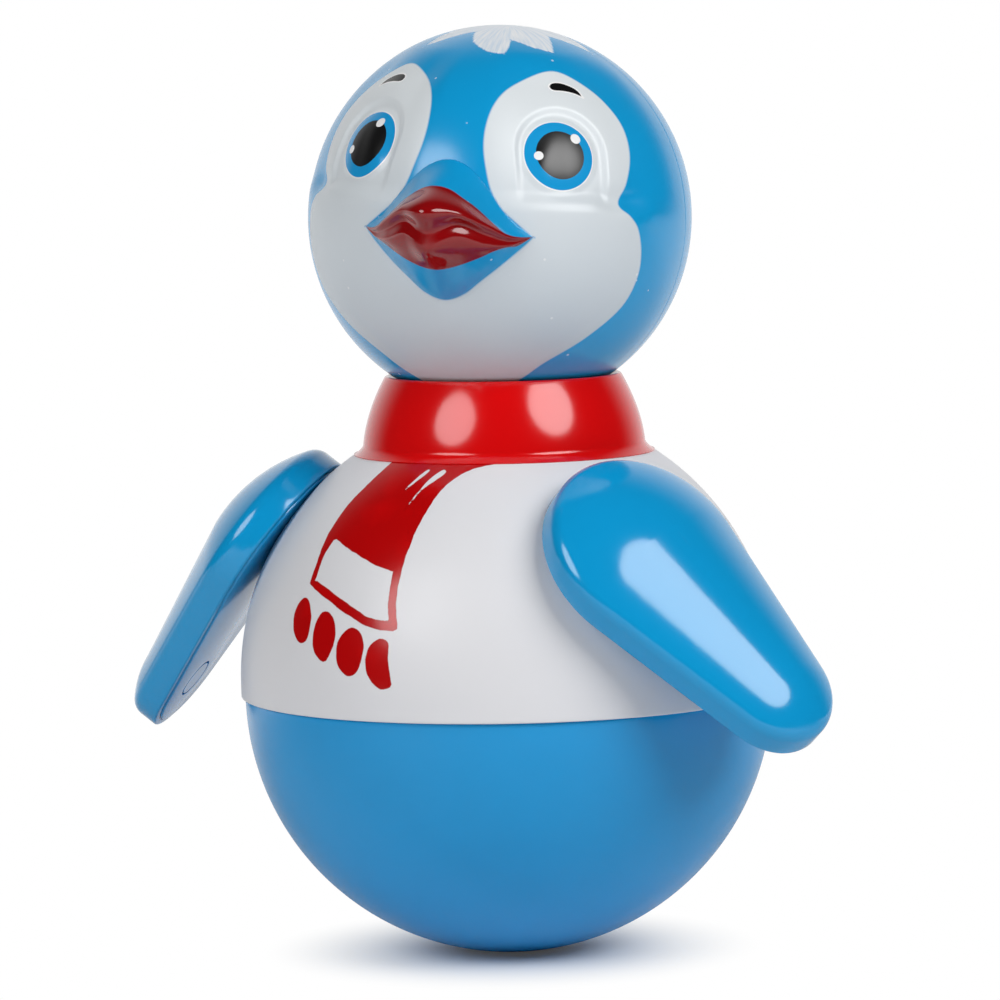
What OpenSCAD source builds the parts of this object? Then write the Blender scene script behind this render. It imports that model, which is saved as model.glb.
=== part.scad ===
// Roly poly toy: a penguin on a round, weighted body.
// The origin is the centre of the small flat under the bowl. +Z is up and the body faces -Y.

/* [Body] */
// Outer radius of the blue bowl
bowl_r = 64; // [54:0.5:76]
// Radius of the small flat under the bowl
foot_r = 6; // [3:0.5:9]
// Wall of the moulded shells
shell_t = 2.2; // [1.6:0.1:3]
// Depth of the waist seam below the bowl's centre
waist_drop = 0.5; // [0.2:0.1:3]
// How far the dome's skirt stands out from the bowl
skirt_proud = 1; // [0.4:0.1:2]
// Height of the dome's centre above the bowl's centre
dome_rise = 3.7; // [2:0.1:8]
// Height of the bowl's spigot inside the skirt
spigot_h = 5; // [3:0.5:8]
// How far a pin stands past its clip
pin_past = 1; // [0.5:0.1:2]
// Gap between pieces that are fixed together
fit_gap = 0.1; // [0.05:0.01:0.2]
// Gap between pieces that turn past each other
run_gap = 0.4; // [0.3:0.05:0.8]
// Radial clearance of a pin in its bore
pin_gap = 0.06; // [0.03:0.01:0.09]

/* [Collar] */
// How far the collar's bottom lip flares out
lip_out = 2.2; // [1:0.1:4]
// Radius of the collar just above the lip
collar_base_r = 34.3; // [31:0.1:38]
// Radius of the collar at its top edge
collar_top_r = 28.4; // [27:0.1:31]
// Height of the collar above the dome
collar_h = 19.3; // [15:0.1:26]
// Height over which the lip flares out
lip_h = 2.4; // [1.2:0.1:4]
// How late the collar narrows towards its top, where 1 is a straight cone
collar_bow = 1.85; // [1:0.05:2.5]
// Width of the collar's rim round the dish in which the head sits
rim_w = 0.4; // [0.3:0.1:3]
// Radius of the collar's spigot in the dome
collar_spigot_r = 26; // [22:0.5:28]
// Depth of the collar's spigot below the dome's hole
collar_spigot_h = 7; // [5:0.5:12]
// Height of the ring that locks the collar
lock_ring_h = 5; // [3:0.5:8]
// Width of the ring that locks the collar
lock_ring_w = 4; // [2:0.5:6]

/* [Head] */
// Outer radius of the head
head_r = 46.3; // [40:0.1:50]
// Turn of the head on the neck, towards the toy's left
head_turn = 18.4; // [0:0.2:40]
// Sideways lean of the face, towards the toy's left
head_lean = 4; // [0:0.5:8]
// Gap between the head and the dish
head_gap = 0.6; // [0.4:0.1:1.2]
// Radius of the neck spool's stem
neck_r = 9; // [6:0.5:12]
// Radius of the neck spool's foot and of the head's neck boss
neck_flange_r = 15; // [13:0.5:18]
// Height of the neck boss inside the head
neck_boss_h = 7; // [5:0.5:10]
// Thickness of the neck spool's foot
neck_foot_t = 3; // [2:0.5:5]
// Radius of the clip on the neck spool
neck_clip_r = 14; // [12:0.5:17]
// Thickness of the clip on the neck spool
neck_clip_t = 2; // [1:0.5:4]
// Depth of the step that the neck clip sits on
neck_step = 1.5; // [1:0.5:3]
// Length of the lap where the head's halves meet
lap_l = 3; // [2:0.5:6]

/* [Face] */
// Sideways angle of each eye from the middle of the face
eye_az = 33.3; // [26:0.1:40]
// Height angle of each eye above the middle of the face
eye_el = 21.5; // [14:0.1:30]
// Radius of the iris
eye_r = 8.9; // [7:0.1:10]
// Radius of the arched eye socket
socket_r = 10.9; // [10.2:0.1:13]
// Depth of the eye socket
socket_d = 1; // [0.5:0.1:1.6]
// How far the socket runs down to the cheek
socket_drop = 12; // [8:0.5:14]
// Sideways angle of each cheek
cheek_az = 33; // [26:0.5:40]
// Height angle of each cheek
cheek_el = -20; // [-30:0.5:-10]
// Radius of each cheek's swelling
cheek_r = 27; // [22:0.5:34]
// How far each cheek swells out of the head
cheek_out = 0.9; // [0.4:0.1:2]
// Sideways angle of the corners of the beak
beak_az = 26; // [20:0.5:30]
// Height angle of the corners of the beak
beak_el = -2.3; // [-8:0.1:4]
// How far the beak's tip stands out of the head
beak_out = 15; // [8:0.5:20]
// Height angle of the root of the upper beak
beak_top_el = 19; // [14:0.5:26]
// Height angle of the root of the lower beak
beak_low_el = -22; // [-28:0.5:-16]
// How deep the beak is rooted in the head
beak_sink = 2; // [1:0.5:4]
// Radius of the beak's four cushioned faces
beak_face_r = 36; // [30:1:60]
// Height of the mouth groove
mouth_h = 0.9; // [0.5:0.1:1.6]
// Depth of the mouth groove
mouth_d = 0.8; // [0.4:0.1:1.5]

/* [Wings] */
// Angle of each wing's pin from the front of the body
wing_az = 69.2; // [60:0.1:80]
// Angle of each wing's pin above the level
wing_el = 37.3; // [30:0.1:42]
// How deep the flat shoulder seat is cut into the dome
seat_cut = 2; // [1.4:0.1:3]
// How far the pad inside the dome reaches past the flat seat
pad_margin = 2.5; // [1.5:0.1:5]
// Thickness of the flat pad inside the dome
pad_t = 5; // [4:0.5:8]
// Distance of the pin down the slope from the middle of the seat
pin_drop = 7.6; // [0:0.1:8]
// Distance of the pin towards the front from the middle of the seat
pin_fore = 2.4; // [0:0.1:4]
// Radius of the wing pins
pin_r = 4; // [3:0.1:5]
// Length of the bearing tube behind the pad
bearing_l = 5; // [3:0.5:10]
// Wall of the bearing tube and of the boss in the wing
bearing_t = 2.5; // [1.5:0.1:4]
// Radius of the wing at the shoulder
shoulder_r = 25.5; // [22:0.1:30]
// Radius of the wing at the tip
tip_r = 15.2; // [12:0.1:19]
// Distance from the pin to the shoulder's centre
shoulder_drop = 2.8; // [0:0.1:6]
// Distance from the shoulder's centre to the tip's centre
wing_l = 43; // [36:0.1:56]
// Height of the wing's side below its rounded edge
wing_side = 4.7; // [4:0.1:9]
// Radius of the wing's outer edge
wing_edge_r = 4; // [2.2:0.1:6]
// Slope of the wing's outer face where it meets the edge
wing_slope = 36; // [20:1:42]
// Wall of the wing shell
wing_wall = 2; // [1.4:0.1:2.6]
// Width of the ledge that the cover rests on
ledge_w = 1; // [0.5:0.1:2]
// Thickness of the wing cover
cover_t = 1.6; // [1.2:0.1:2.4]
// How far the cover stands out of the wing
cover_proud = 0.5; // [0.2:0.1:1]
// Radius of the ring mark on the cover
mark_r = 5.3; // [4:0.1:7]
// Width of the ring mark
mark_w = 0.6; // [0.4:0.1:1]
// Depth of the ring mark
mark_d = 0.5; // [0.2:0.1:0.8]
// Swing of the left wing towards the back
left_swing = 25; // [-60:1:60]
// Swing of the right wing towards the back
right_swing = 13; // [-60:0.5:60]
// Radius of the clip on a wing pin
clip_r = 8; // [6.5:0.5:10]
// Thickness of the clip on a wing pin
clip_t = 1.2; // [0.8:0.1:2]
// Depth of the step that the clip sits on
clip_step = 1; // [0.5:0.1:1.5]

/* [Ballast and chime] */
// Height of the ballast above the bowl's floor
ballast_h = 17; // [12:0.5:22]
// Radius of the boss that the ballast fits round
boss_r = 6; // [5:0.5:9]
// Radius of the chime's base plate
base_r = 27; // [25:0.5:32]
// Thickness of the chime's base plate
base_t = 3; // [2:0.5:5]
// Number of chime rods
rod_count = 8; // [4:1:12]
// Radius of each chime rod
rod_r = 1.5; // [1:0.1:2]
// Radius of the circle of rods
rod_circle_r = 22; // [19:0.5:24]
// Length of the shortest rod above the plate
rod_min_l = 30; // [24:1:40]
// Difference in length from one rod to the next
rod_step_l = 3; // [0:0.5:4]
// Height of the socket of each rod
rod_socket_h = 4; // [2:0.5:7]
// Height of the bridge above the plate
bridge_h = 66; // [60:1:72]
// Half of the distance between the bridge's legs
bridge_w = 29; // [28:0.5:32]
// Thickness of the bridge's strip
strip_t = 2; // [1:0.1:3]
// Width of the bridge's strip
strip_w = 8; // [6:0.5:12]
// Radius of the wire of the eyes and of the link
wire_r = 0.9; // [0.6:0.1:1.2]
// Radius of the eyes and of the link, to the wire's middle
eyelet_r = 3; // [2.6:0.1:4]
// Gap between the wires of two linked eyes
wire_gap = 0.2; // [0.1:0.05:0.4]
// Length of the striker from its eye to the ball's middle
striker_l = 30; // [24:1:34]
// Radius of the striker's ball
ball_r = 8; // [5:0.5:9]
// Radius of the screws
screw_r = 1.5; // [1.2:0.1:2]
// Radius of the screw heads
screw_head_r = 3; // [2.6:0.1:3.8]
// Height of the screw heads
screw_head_h = 2; // [1.4:0.1:3]
// Length of the ballast screw in the boss
screw_l = 10; // [6:1:14]
// Thickness of the washer
washer_t = 1; // [0.6:0.1:2]

/* [Hidden] */

$fn = 96;
hull_fn = 32;
blue = "#2597d3";
white = "#e9e9ec";
red = "#d0161a";
grey = "#8d9197";
iron = "#55585c";

// The cuts run this far past the faces that they open
over = 1;

// Heights of the body
bowl_z = sqrt(bowl_r * bowl_r - foot_r * foot_r);
seam_z = bowl_z - waist_drop;
dome_r = bowl_r + skirt_proud;
dome_z = bowl_z + dome_rise;
dome_in_r = dome_r - shell_t;
bowl_in_r = bowl_r - shell_t;

// Heights of the collar and the head, each set on the piece below it
function on_sphere(r, x) = sqrt(r * r - x * x);
collar_lip_r = collar_base_r + lip_out;
collar_z = dome_z + on_sphere(dome_r, collar_lip_r);
collar_top_z = collar_z + collar_h;
dish_ball_r = head_r + head_gap;
deck_ball_r = dish_ball_r + shell_t;
head_z = collar_top_z + on_sphere(dish_ball_r, collar_top_r - rim_w);
head_in_r = head_r - shell_t;
dome_hole_r = collar_spigot_r + fit_gap;
dome_hole_z = dome_z + on_sphere(dome_in_r, dome_hole_r);
spigot_end_z = dome_hole_z - collar_spigot_h;
neck_boss_z = head_z - head_r + neck_boss_h;
neck_foot_z = head_z - deck_ball_r - neck_foot_t;
neck_step_z = neck_boss_z + run_gap;
lap_r = head_in_r + shell_t / 2;

// Radius at which the crown of a wing's outer face meets the edge, and the height of its middle
function crown_radius(r, edge) = r - edge + edge * sin(wing_slope);
function crown_top(r, edge) =
  wing_side + edge * cos(wing_slope) + crown_radius(r, edge) * tan(wing_slope / 2);

// Places along a wing's pin, measured from the rim plane of the wing
seat_d = dome_r - seat_cut;
pad_r = on_sphere(dome_r, seat_d) + pad_margin;
seat_depth = run_gap + cover_proud;
bearing_end = seat_depth + pad_t + bearing_l;
clip_depth = bearing_end + run_gap;
pin_tip = clip_depth + clip_t + pin_past;
cavity_inset = wing_wall + ledge_w;
cavity_edge_r = max(fit_gap, wing_edge_r - wing_wall);
cover_top = cover_t - cover_proud;
wing_boss_top = crown_top(shoulder_r, wing_edge_r) - 2 * wing_wall;
tip_y = -shoulder_drop - wing_l;

// Heights of the ballast and the chime
ballast_z = bowl_z - bowl_in_r + ballast_h;
plate_z = ballast_z + base_t;
bridge_z = plate_z + bridge_h;
hanger_z = bridge_z - strip_t - eyelet_r;
link_pivot_z = hanger_z - eyelet_r;
link_rise = 2 * wire_r + wire_gap;
link_z = link_pivot_z + link_rise - eyelet_r;
striker_pivot_z = link_z - eyelet_r;
striker_eye_z = striker_pivot_z + link_rise - eyelet_r;
ball_z = striker_eye_z - striker_l;
ear_w = bridge_w + strip_w;

// Direction of a point of the face: az to the toy's left of the middle, el up
function face_dir(az, el) = [sin(az) * cos(el), -cos(az) * cos(el), sin(el)];

// Centre of a ball of radius r through three points, on the side of the point towards
function ball_centre(a, b, c, r, towards) =
  let (
    u = b - a,
    v = c - a,
    n = cross(u, v),
    m = a + (cross(n, u) * (v * v) + cross(v, n) * (u * u)) / (2 * n * n),
    k = sqrt(r * r - (m - a) * (m - a)) / norm(n),
    s = sign((towards - m) * n)
  )
  m + n * k * s;

module ring(r_out, r_in, h) {
  difference() {
    cylinder(r = r_out, h = h);
    translate([0, 0, -over]) cylinder(r = r_in, h = h + 2 * over);
  }
}

module eyelet() {
  rotate([90, 0, 0]) rotate_extrude() translate([eyelet_r, 0]) circle(r = wire_r, $fn = 32);
}

module pan_screw(length) {
  cylinder(r = screw_head_r, h = screw_head_h);
  translate([0, 0, -length]) cylinder(r = screw_r, h = length);
}

// The frame of a wing's seat: its middle is the origin and +Z points outwards
module seat_frame(side) {
  translate([0, 0, dome_z]) rotate([0, 0, side * wing_az]) rotate([90 - wing_el, 0, 0])
    translate([0, 0, seat_d]) children();
}

// The frame of a wing: its pin is the Z axis, its rim plane z = 0 and its tip lies along -Y
module wing_frame(side, swing) {
  seat_frame(side) translate([-side * pin_fore, -pin_drop, seat_depth])
    rotate([0, 0, side * swing]) children();
}

module head_frame() {
  translate([0, 0, head_z]) rotate([0, 0, head_turn]) children();
}

module face_frame() {
  head_frame() rotate([0, head_lean, 0]) children();
}

// Turns +Z to a point of the face
module face_point(az, el) {
  rotate([0, 0, az]) rotate([90 - el, 0, 0]) children();
}

// Body

module lower_shell() {
  spigot_r = dome_in_r - fit_gap;
  spigot_root_z = seam_z - spigot_h;
  color(blue) difference() {
    union() {
      difference() {
        translate([0, 0, bowl_z]) sphere(r = bowl_r);
        translate([0, 0, bowl_z]) sphere(r = bowl_in_r);
        translate([0, 0, seam_z]) cylinder(r = bowl_r + over, h = 2 * bowl_r);
        translate([0, 0, -bowl_r]) cylinder(r = bowl_r, h = bowl_r);
      }
      translate([0, 0, spigot_root_z]) ring(spigot_r, spigot_r - shell_t, 2 * spigot_h);
      cylinder(r = boss_r, h = ballast_z);
    }
    translate([0, 0, ballast_z - screw_l - over])
      cylinder(r = screw_r + fit_gap, h = screw_l + 2 * over);
  }
}

module shoulder_pad(side) {
  translate([0, 0, -pad_t]) cylinder(r = pad_r, h = pad_t);
  translate([-side * pin_fore, -pin_drop, -pad_t - bearing_l])
    cylinder(r = pin_r + pin_gap + bearing_t, h = bearing_l + over);
}

module upper_shell() {
  pin_bore_r = pin_r + pin_gap;
  color(white) difference() {
    union() {
      difference() {
        union() {
          translate([0, 0, dome_z]) sphere(r = dome_r);
          translate([0, 0, seam_z]) cylinder(r = dome_r, h = dome_z - seam_z);
        }
        translate([0, 0, dome_z]) sphere(r = dome_in_r);
        translate([0, 0, seam_z - over]) cylinder(r = dome_in_r, h = dome_z - seam_z + over);
        translate([0, 0, seam_z - 2 * dome_r]) cylinder(r = 2 * dome_r, h = 2 * dome_r);
      }
      intersection() {
        translate([0, 0, dome_z]) sphere(r = dome_r);
        union() {
          seat_frame(1) shoulder_pad(1);
          seat_frame(-1) shoulder_pad(-1);
        }
      }
    }
    cylinder(r = dome_hole_r, h = 3 * dome_r);
    for (side = [-1, 1]) {
      seat_frame(side) cylinder(r = pad_r, h = dome_r);
      seat_frame(side) translate([-side * pin_fore, -pin_drop, -dome_r / 2])
        cylinder(r = pin_bore_r, h = dome_r);
    }
  }
}

// Collar

// Radius of the collar's outside at the share t of its height
function collar_radius(t) =
  collar_base_r - (collar_base_r - collar_top_r) * pow(t, collar_bow)
  + lip_out * max(0, 1 - t * collar_h / lip_h);

module collar_turning(inset) {
  steps = 16;
  shares = [for (i = [0 : steps]) pow(i / steps, 1.5)];
  rotate_extrude() polygon(concat(
    [[0, 0]],
    [for (t = shares) [collar_radius(t) - inset, t * collar_h]],
    [[0, collar_h]]));
}

module collar() {
  deck_low = head_z - deck_ball_r - over;
  color(red) difference() {
    union() {
      difference() {
        translate([0, 0, collar_z]) collar_turning(0);
        difference() {
          translate([0, 0, collar_z - over]) collar_turning(shell_t);
          translate([0, 0, head_z]) sphere(r = deck_ball_r);
        }
      }
      difference() {
        translate([0, 0, spigot_end_z])
          ring(collar_spigot_r, collar_spigot_r - shell_t, collar_top_z - spigot_end_z);
        translate([0, 0, head_z]) sphere(r = dish_ball_r + shell_t / 2);
      }
    }
    translate([0, 0, head_z]) sphere(r = dish_ball_r);
    translate([0, 0, deck_low]) cylinder(r = neck_r + fit_gap, h = head_r);
    difference() {
      translate([0, 0, dome_z]) sphere(r = dome_r + fit_gap);
      cylinder(r = collar_spigot_r, h = 3 * dome_r);
    }
  }
}

module collar_lock_ring() {
  color(white) intersection() {
    translate([0, 0, dome_hole_z - lock_ring_h])
      ring(collar_spigot_r + fit_gap + lock_ring_w, collar_spigot_r + fit_gap, lock_ring_h);
    translate([0, 0, dome_z]) sphere(r = dome_in_r - fit_gap);
  }
}

// Neck and head

module neck_spool() {
  stem_top = neck_step_z + neck_clip_t + pin_past;
  color(white) {
    difference() {
      translate([0, 0, neck_foot_z]) cylinder(r = neck_flange_r, h = 2 * neck_foot_t);
      translate([0, 0, head_z]) sphere(r = deck_ball_r);
    }
    translate([0, 0, neck_foot_z]) cylinder(r = neck_r, h = neck_step_z - neck_foot_z);
    translate([0, 0, neck_foot_z]) cylinder(r = neck_r - neck_step, h = stem_top - neck_foot_z);
  }
}

module neck_clip() {
  color(grey) translate([0, 0, neck_step_z])
    ring(neck_clip_r, neck_r - neck_step + fit_gap, neck_clip_t);
}

module head_hollow() {
  difference() {
    sphere(r = head_in_r);
    translate([0, 0, neck_boss_z - head_z - head_r]) cylinder(r = neck_flange_r, h = head_r);
  }
}

// The lap of the head's halves stops at this space round the neck boss
module neck_room() {
  translate([0, 0, -2 * head_r]) cylinder(r = neck_flange_r + shell_t, h = 2 * head_r);
}

module neck_bore() {
  translate([0, 0, -2 * head_r]) cylinder(r = neck_r + pin_gap, h = 2 * head_r);
}

// Half of the space round the head: front is -1, back is 1
module half_space(side) {
  reach = 2 * (head_r + beak_out);
  translate([-reach, side < 0 ? -2 * reach : 0, -reach]) cube(2 * reach);
}

module eye_socket() {
  floor_r = head_r - socket_d;
  for (side = [-1, 1]) difference() {
    face_point(side * eye_az, eye_el) intersection() {
      union() {
        cylinder(r = socket_r, h = 2 * head_r);
        translate([-socket_r, -socket_drop, 0]) cube([2 * socket_r, socket_drop, 2 * head_r]);
      }
      difference() {
        sphere(r = head_r + 2 * over);
        sphere(r = floor_r);
      }
    }
    face_point(side * eye_az, eye_el) intersection() {
      cylinder(r = eye_r, h = 2 * head_r);
      sphere(r = head_r - socket_d / 3);
    }
  }
}

module cheeks() {
  for (side = [-1, 1])
    translate(face_dir(side * cheek_az, cheek_el) * (head_r + cheek_out - cheek_r)) sphere(r = cheek_r);
}

// Half of the beak, from the height low to the height high of the mouth plane. Its two cushioned
// faces are large balls through a corner of the beak, the root of the half and the tip.
module beak_half(root_el, inset, low, high) {
  depth_r = head_r - beak_sink;
  mouth_z = depth_r * sin(beak_el);
  root = face_dir(0, root_el) * depth_r;
  tip = [0, -head_r - beak_out, mouth_z];
  heart = [0, -depth_r, mouth_z];
  intersection() {
    intersection_for (side = [-1, 1]) {
      corner = face_dir(side * beak_az, beak_el) * depth_r;
      translate(ball_centre(corner, root, tip, beak_face_r, heart)) rotate([0, 0, side * 90])
        sphere(r = beak_face_r - inset);
    }
    translate([-head_r, -2 * head_r, mouth_z + low]) cube([2 * head_r, 2 * head_r, high - low]);
  }
}

module beak() {
  beak_half(beak_top_el, 0, mouth_h / 2, head_r);
  beak_half(beak_low_el, 0, -head_r, -mouth_h / 2);
  beak_half(beak_top_el, mouth_d, -mouth_h, mouth_h);
}

module head_front() {
  color(white) difference() {
    union() {
      face_frame() difference() {
        sphere(r = head_r);
        eye_socket();
      }
      face_frame() cheeks();
      face_frame() beak();
    }
    head_frame() head_hollow();
    head_frame() neck_bore();
    head_frame() half_space(1);
    head_frame() intersection() {
      sphere(r = lap_r + fit_gap);
      translate([0, -lap_l - fit_gap, 0]) half_space(1);
      difference() {
        sphere(r = head_r);
        neck_room();
      }
    }
  }
}

module head_back() {
  color(blue) head_frame() difference() {
    union() {
      intersection() {
        sphere(r = head_r);
        half_space(1);
      }
      difference() {
        intersection() {
          sphere(r = lap_r);
          translate([0, -lap_l, 0]) half_space(1);
        }
        neck_room();
      }
    }
    head_hollow();
    neck_bore();
  }
}

// Wings

// Points of a wing's half section: the rim, the side, the rounded edge and the crown
function wing_profile(r, z0, edge) =
  let (
    edge_steps = 4,
    crown_steps = 6,
    crown_r = crown_radius(r, edge),
    ball_r = crown_r / sin(wing_slope),
    ball_z = crown_top(r, edge) - ball_r
  )
  concat(
    [[0, z0], [r, z0]],
    [for (i = [0 : edge_steps]) let (a = (90 - wing_slope) * i / edge_steps)
      [r - edge + edge * cos(a), wing_side + edge * sin(a)]],
    [for (i = [1 : crown_steps]) let (a = wing_slope * (1 - i / crown_steps))
      [ball_r * sin(a), ball_z + ball_r * cos(a)]]);

module wing_form(inset, z0, edge) {
  hull() {
    translate([0, -shoulder_drop, 0])
      rotate_extrude($fn = hull_fn) polygon(wing_profile(shoulder_r - inset, z0, edge));
    translate([0, tip_y, 0])
      rotate_extrude($fn = hull_fn) polygon(wing_profile(tip_r - inset, z0, edge));
  }
}

module wing_plate(inset, h) {
  hull() {
    translate([0, -shoulder_drop, 0])
      cylinder(r = shoulder_r - inset, h = h, $fn = 2 * hull_fn);
    translate([0, tip_y, 0]) cylinder(r = tip_r - inset, h = h, $fn = 2 * hull_fn);
  }
}

module wing_shell() {
  boss_r_out = pin_r + fit_gap + bearing_t;
  difference() {
    wing_form(0, 0, wing_edge_r);
    translate([0, 0, -over]) wing_plate(wing_wall, cover_top + over);
    difference() {
      wing_form(cavity_inset, -over, cavity_edge_r);
      translate([0, 0, cover_top]) cylinder(r = boss_r_out, h = wing_boss_top + wing_wall);
    }
    translate([0, 0, -over]) cylinder(r = pin_r + fit_gap, h = wing_boss_top + over);
  }
}

module wing_cover() {
  difference() {
    translate([0, 0, -cover_proud]) wing_plate(wing_wall + fit_gap, cover_t);
    translate([0, 0, -cover_proud - over]) cylinder(r = pin_r + fit_gap, h = cover_t + 2 * over);
    translate([0, tip_y, -cover_proud - over]) ring(mark_r, mark_r - mark_w, mark_d + over);
  }
}

module wing_pin() {
  translate([0, 0, -clip_depth]) cylinder(r = pin_r, h = clip_depth + wing_boss_top);
  translate([0, 0, -pin_tip]) cylinder(r = pin_r - clip_step, h = pin_tip);
}

module wing_clip() {
  translate([0, 0, -clip_depth - clip_t]) ring(clip_r, pin_r - clip_step + fit_gap, clip_t);
}

module left_wing_shell() { color(blue) wing_frame(1, left_swing) wing_shell(); }
module left_wing_cover() { color(blue) wing_frame(1, left_swing) wing_cover(); }
module left_wing_pin() { color(white) wing_frame(1, left_swing) wing_pin(); }
module left_wing_clip() { color(grey) wing_frame(1, left_swing) wing_clip(); }
module right_wing_shell() { color(blue) wing_frame(-1, right_swing) wing_shell(); }
module right_wing_cover() { color(blue) wing_frame(-1, right_swing) wing_cover(); }
module right_wing_pin() { color(white) wing_frame(-1, right_swing) wing_pin(); }
module right_wing_clip() { color(grey) wing_frame(-1, right_swing) wing_clip(); }

// Ballast and chime

module ballast() {
  color(iron) difference() {
    translate([0, 0, bowl_z]) sphere(r = bowl_in_r - fit_gap);
    translate([0, 0, ballast_z]) cylinder(r = bowl_r, h = 2 * bowl_r);
    translate([0, 0, -over]) cylinder(r = boss_r + fit_gap, h = ballast_z + 2 * over);
  }
}

module ballast_washer() {
  color(grey) translate([0, 0, plate_z]) ring(2 * screw_head_r, screw_r + fit_gap, washer_t);
}

module ballast_screw() {
  color(grey) translate([0, 0, plate_z + washer_t]) pan_screw(washer_t + base_t + screw_l);
}

module at_rods() {
  for (i = [0 : rod_count - 1])
    rotate([0, 0, (i + 0.5) * 360 / rod_count]) translate([rod_circle_r, 0, 0]) {
      $rod_l = rod_min_l + rod_step_l * i;
      children();
    }
}

module at_bridge_screws() {
  for (side = [-1, 1]) translate([side * (bridge_w + strip_w / 2), 0, 0]) children();
}

module chime_base() {
  socket_r_out = 2 * rod_r;
  color(white) difference() {
    union() {
      translate([0, 0, ballast_z]) cylinder(r = base_r, h = base_t);
      translate([-ear_w, -strip_w / 2, ballast_z]) cube([2 * ear_w, strip_w, base_t]);
      translate([0, 0, plate_z - over]) at_rods() cylinder(r = socket_r_out, h = rod_socket_h + over);
    }
    translate([0, 0, plate_z]) at_rods() cylinder(r = rod_r + fit_gap / 2, h = rod_socket_h + over);
    translate([0, 0, ballast_z - over]) cylinder(r = screw_r + fit_gap, h = base_t + 2 * over);
    translate([0, 0, ballast_z - over]) at_bridge_screws()
      cylinder(r = screw_r + fit_gap, h = base_t + 2 * over);
  }
}

module chime_rods() {
  color(grey) translate([0, 0, plate_z]) at_rods() cylinder(r = rod_r, h = $rod_l);
}

module chime_bridge() {
  color(grey) difference() {
    union() {
      for (side = [-1, 1]) translate([side * bridge_w - strip_t / 2, -strip_w / 2, plate_z])
        cube([strip_t, strip_w, bridge_h]);
      translate([-bridge_w - strip_t / 2, -strip_w / 2, bridge_z - strip_t])
        cube([2 * bridge_w + strip_t, strip_w, strip_t]);
      translate([-ear_w, -strip_w / 2, plate_z]) cube([strip_w, strip_w, strip_t]);
      translate([bridge_w, -strip_w / 2, plate_z]) cube([strip_w, strip_w, strip_t]);
      translate([0, 0, hanger_z]) eyelet();
    }
    translate([0, 0, plate_z - over]) at_bridge_screws()
      cylinder(r = screw_r + fit_gap, h = strip_t + 2 * over);
  }
}

module bridge_screws() {
  color(grey) translate([0, 0, plate_z + strip_t]) at_bridge_screws() pan_screw(strip_t + base_t);
}

module link_ring() {
  color(grey) translate([0, 0, link_z]) rotate([0, 0, 90]) eyelet();
}

module striker() {
  color(grey) {
    translate([0, 0, striker_eye_z]) eyelet();
    translate([0, 0, ball_z]) cylinder(r = wire_r, h = striker_l - eyelet_r);
    translate([0, 0, ball_z]) sphere(r = ball_r);
  }
}

lower_shell();
upper_shell();
collar();
collar_lock_ring();
neck_spool();
neck_clip();
head_front();
head_back();
left_wing_shell();
left_wing_cover();
left_wing_pin();
left_wing_clip();
right_wing_shell();
right_wing_cover();
right_wing_pin();
right_wing_clip();
ballast();
ballast_washer();
ballast_screw();
chime_base();
chime_rods();
chime_bridge();
bridge_screws();
link_ring();
striker();
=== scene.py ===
"""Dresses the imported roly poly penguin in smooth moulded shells, hand paint and studio light."""

import math

import bmesh
import bpy
import numpy as np
from bpy.props import FloatProperty, FloatVectorProperty, PointerProperty
from mathutils import Matrix, Vector


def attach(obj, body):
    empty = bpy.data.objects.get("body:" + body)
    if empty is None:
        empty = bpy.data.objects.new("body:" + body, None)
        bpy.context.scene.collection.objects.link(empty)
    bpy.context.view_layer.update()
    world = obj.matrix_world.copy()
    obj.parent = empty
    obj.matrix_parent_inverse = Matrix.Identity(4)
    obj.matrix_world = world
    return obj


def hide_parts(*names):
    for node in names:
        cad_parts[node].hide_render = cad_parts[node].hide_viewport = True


bl_info = {
    "name": "Roly Poly Penguin",
    "version": (1, 0, 0),
    "blender": (4, 5, 0),
    "location": "3D View > Sidebar > Roly Poly",
    "description": "Builds the shells, the paint and the stage of a roly poly penguin",
    "category": "Object",
}

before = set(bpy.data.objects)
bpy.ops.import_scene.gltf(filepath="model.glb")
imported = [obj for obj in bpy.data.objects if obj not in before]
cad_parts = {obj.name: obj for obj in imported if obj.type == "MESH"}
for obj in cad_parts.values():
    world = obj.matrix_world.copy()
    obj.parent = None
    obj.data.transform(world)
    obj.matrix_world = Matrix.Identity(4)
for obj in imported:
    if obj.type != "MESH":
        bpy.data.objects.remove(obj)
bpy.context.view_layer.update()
MM = 0.001


# Sizes and colours


def srgb(code):
    """Linear RGB of an sRGB hex colour."""
    channels = [int(code[i : i + 2], 16) / 255 for i in (1, 3, 5)]
    return tuple(c / 12.92 if c <= 0.04045 else ((c + 0.055) / 1.055) ** 2.4 for c in channels)


def length(name, millimetres, description):
    """A length property, given in millimetres and kept in metres."""
    return FloatProperty(
        name=name, description=description, default=millimetres * MM,
        unit="LENGTH", subtype="DISTANCE", precision=5,
    )


def number(name, value, description):
    """A plain number property."""
    return FloatProperty(name=name, description=description, default=value)


def angle(name, degrees, description):
    """An angle property, given in degrees and kept in radians."""
    return FloatProperty(
        name=name, description=description, default=math.radians(degrees),
        unit="ROTATION", subtype="ANGLE",
    )


def colour(name, code, description):
    """A colour property, given as an sRGB hex value and kept as linear RGB."""
    return FloatVectorProperty(
        name=name, description=description, default=srgb(code),
        subtype="COLOR", size=3, min=0, max=1,
    )


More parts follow.
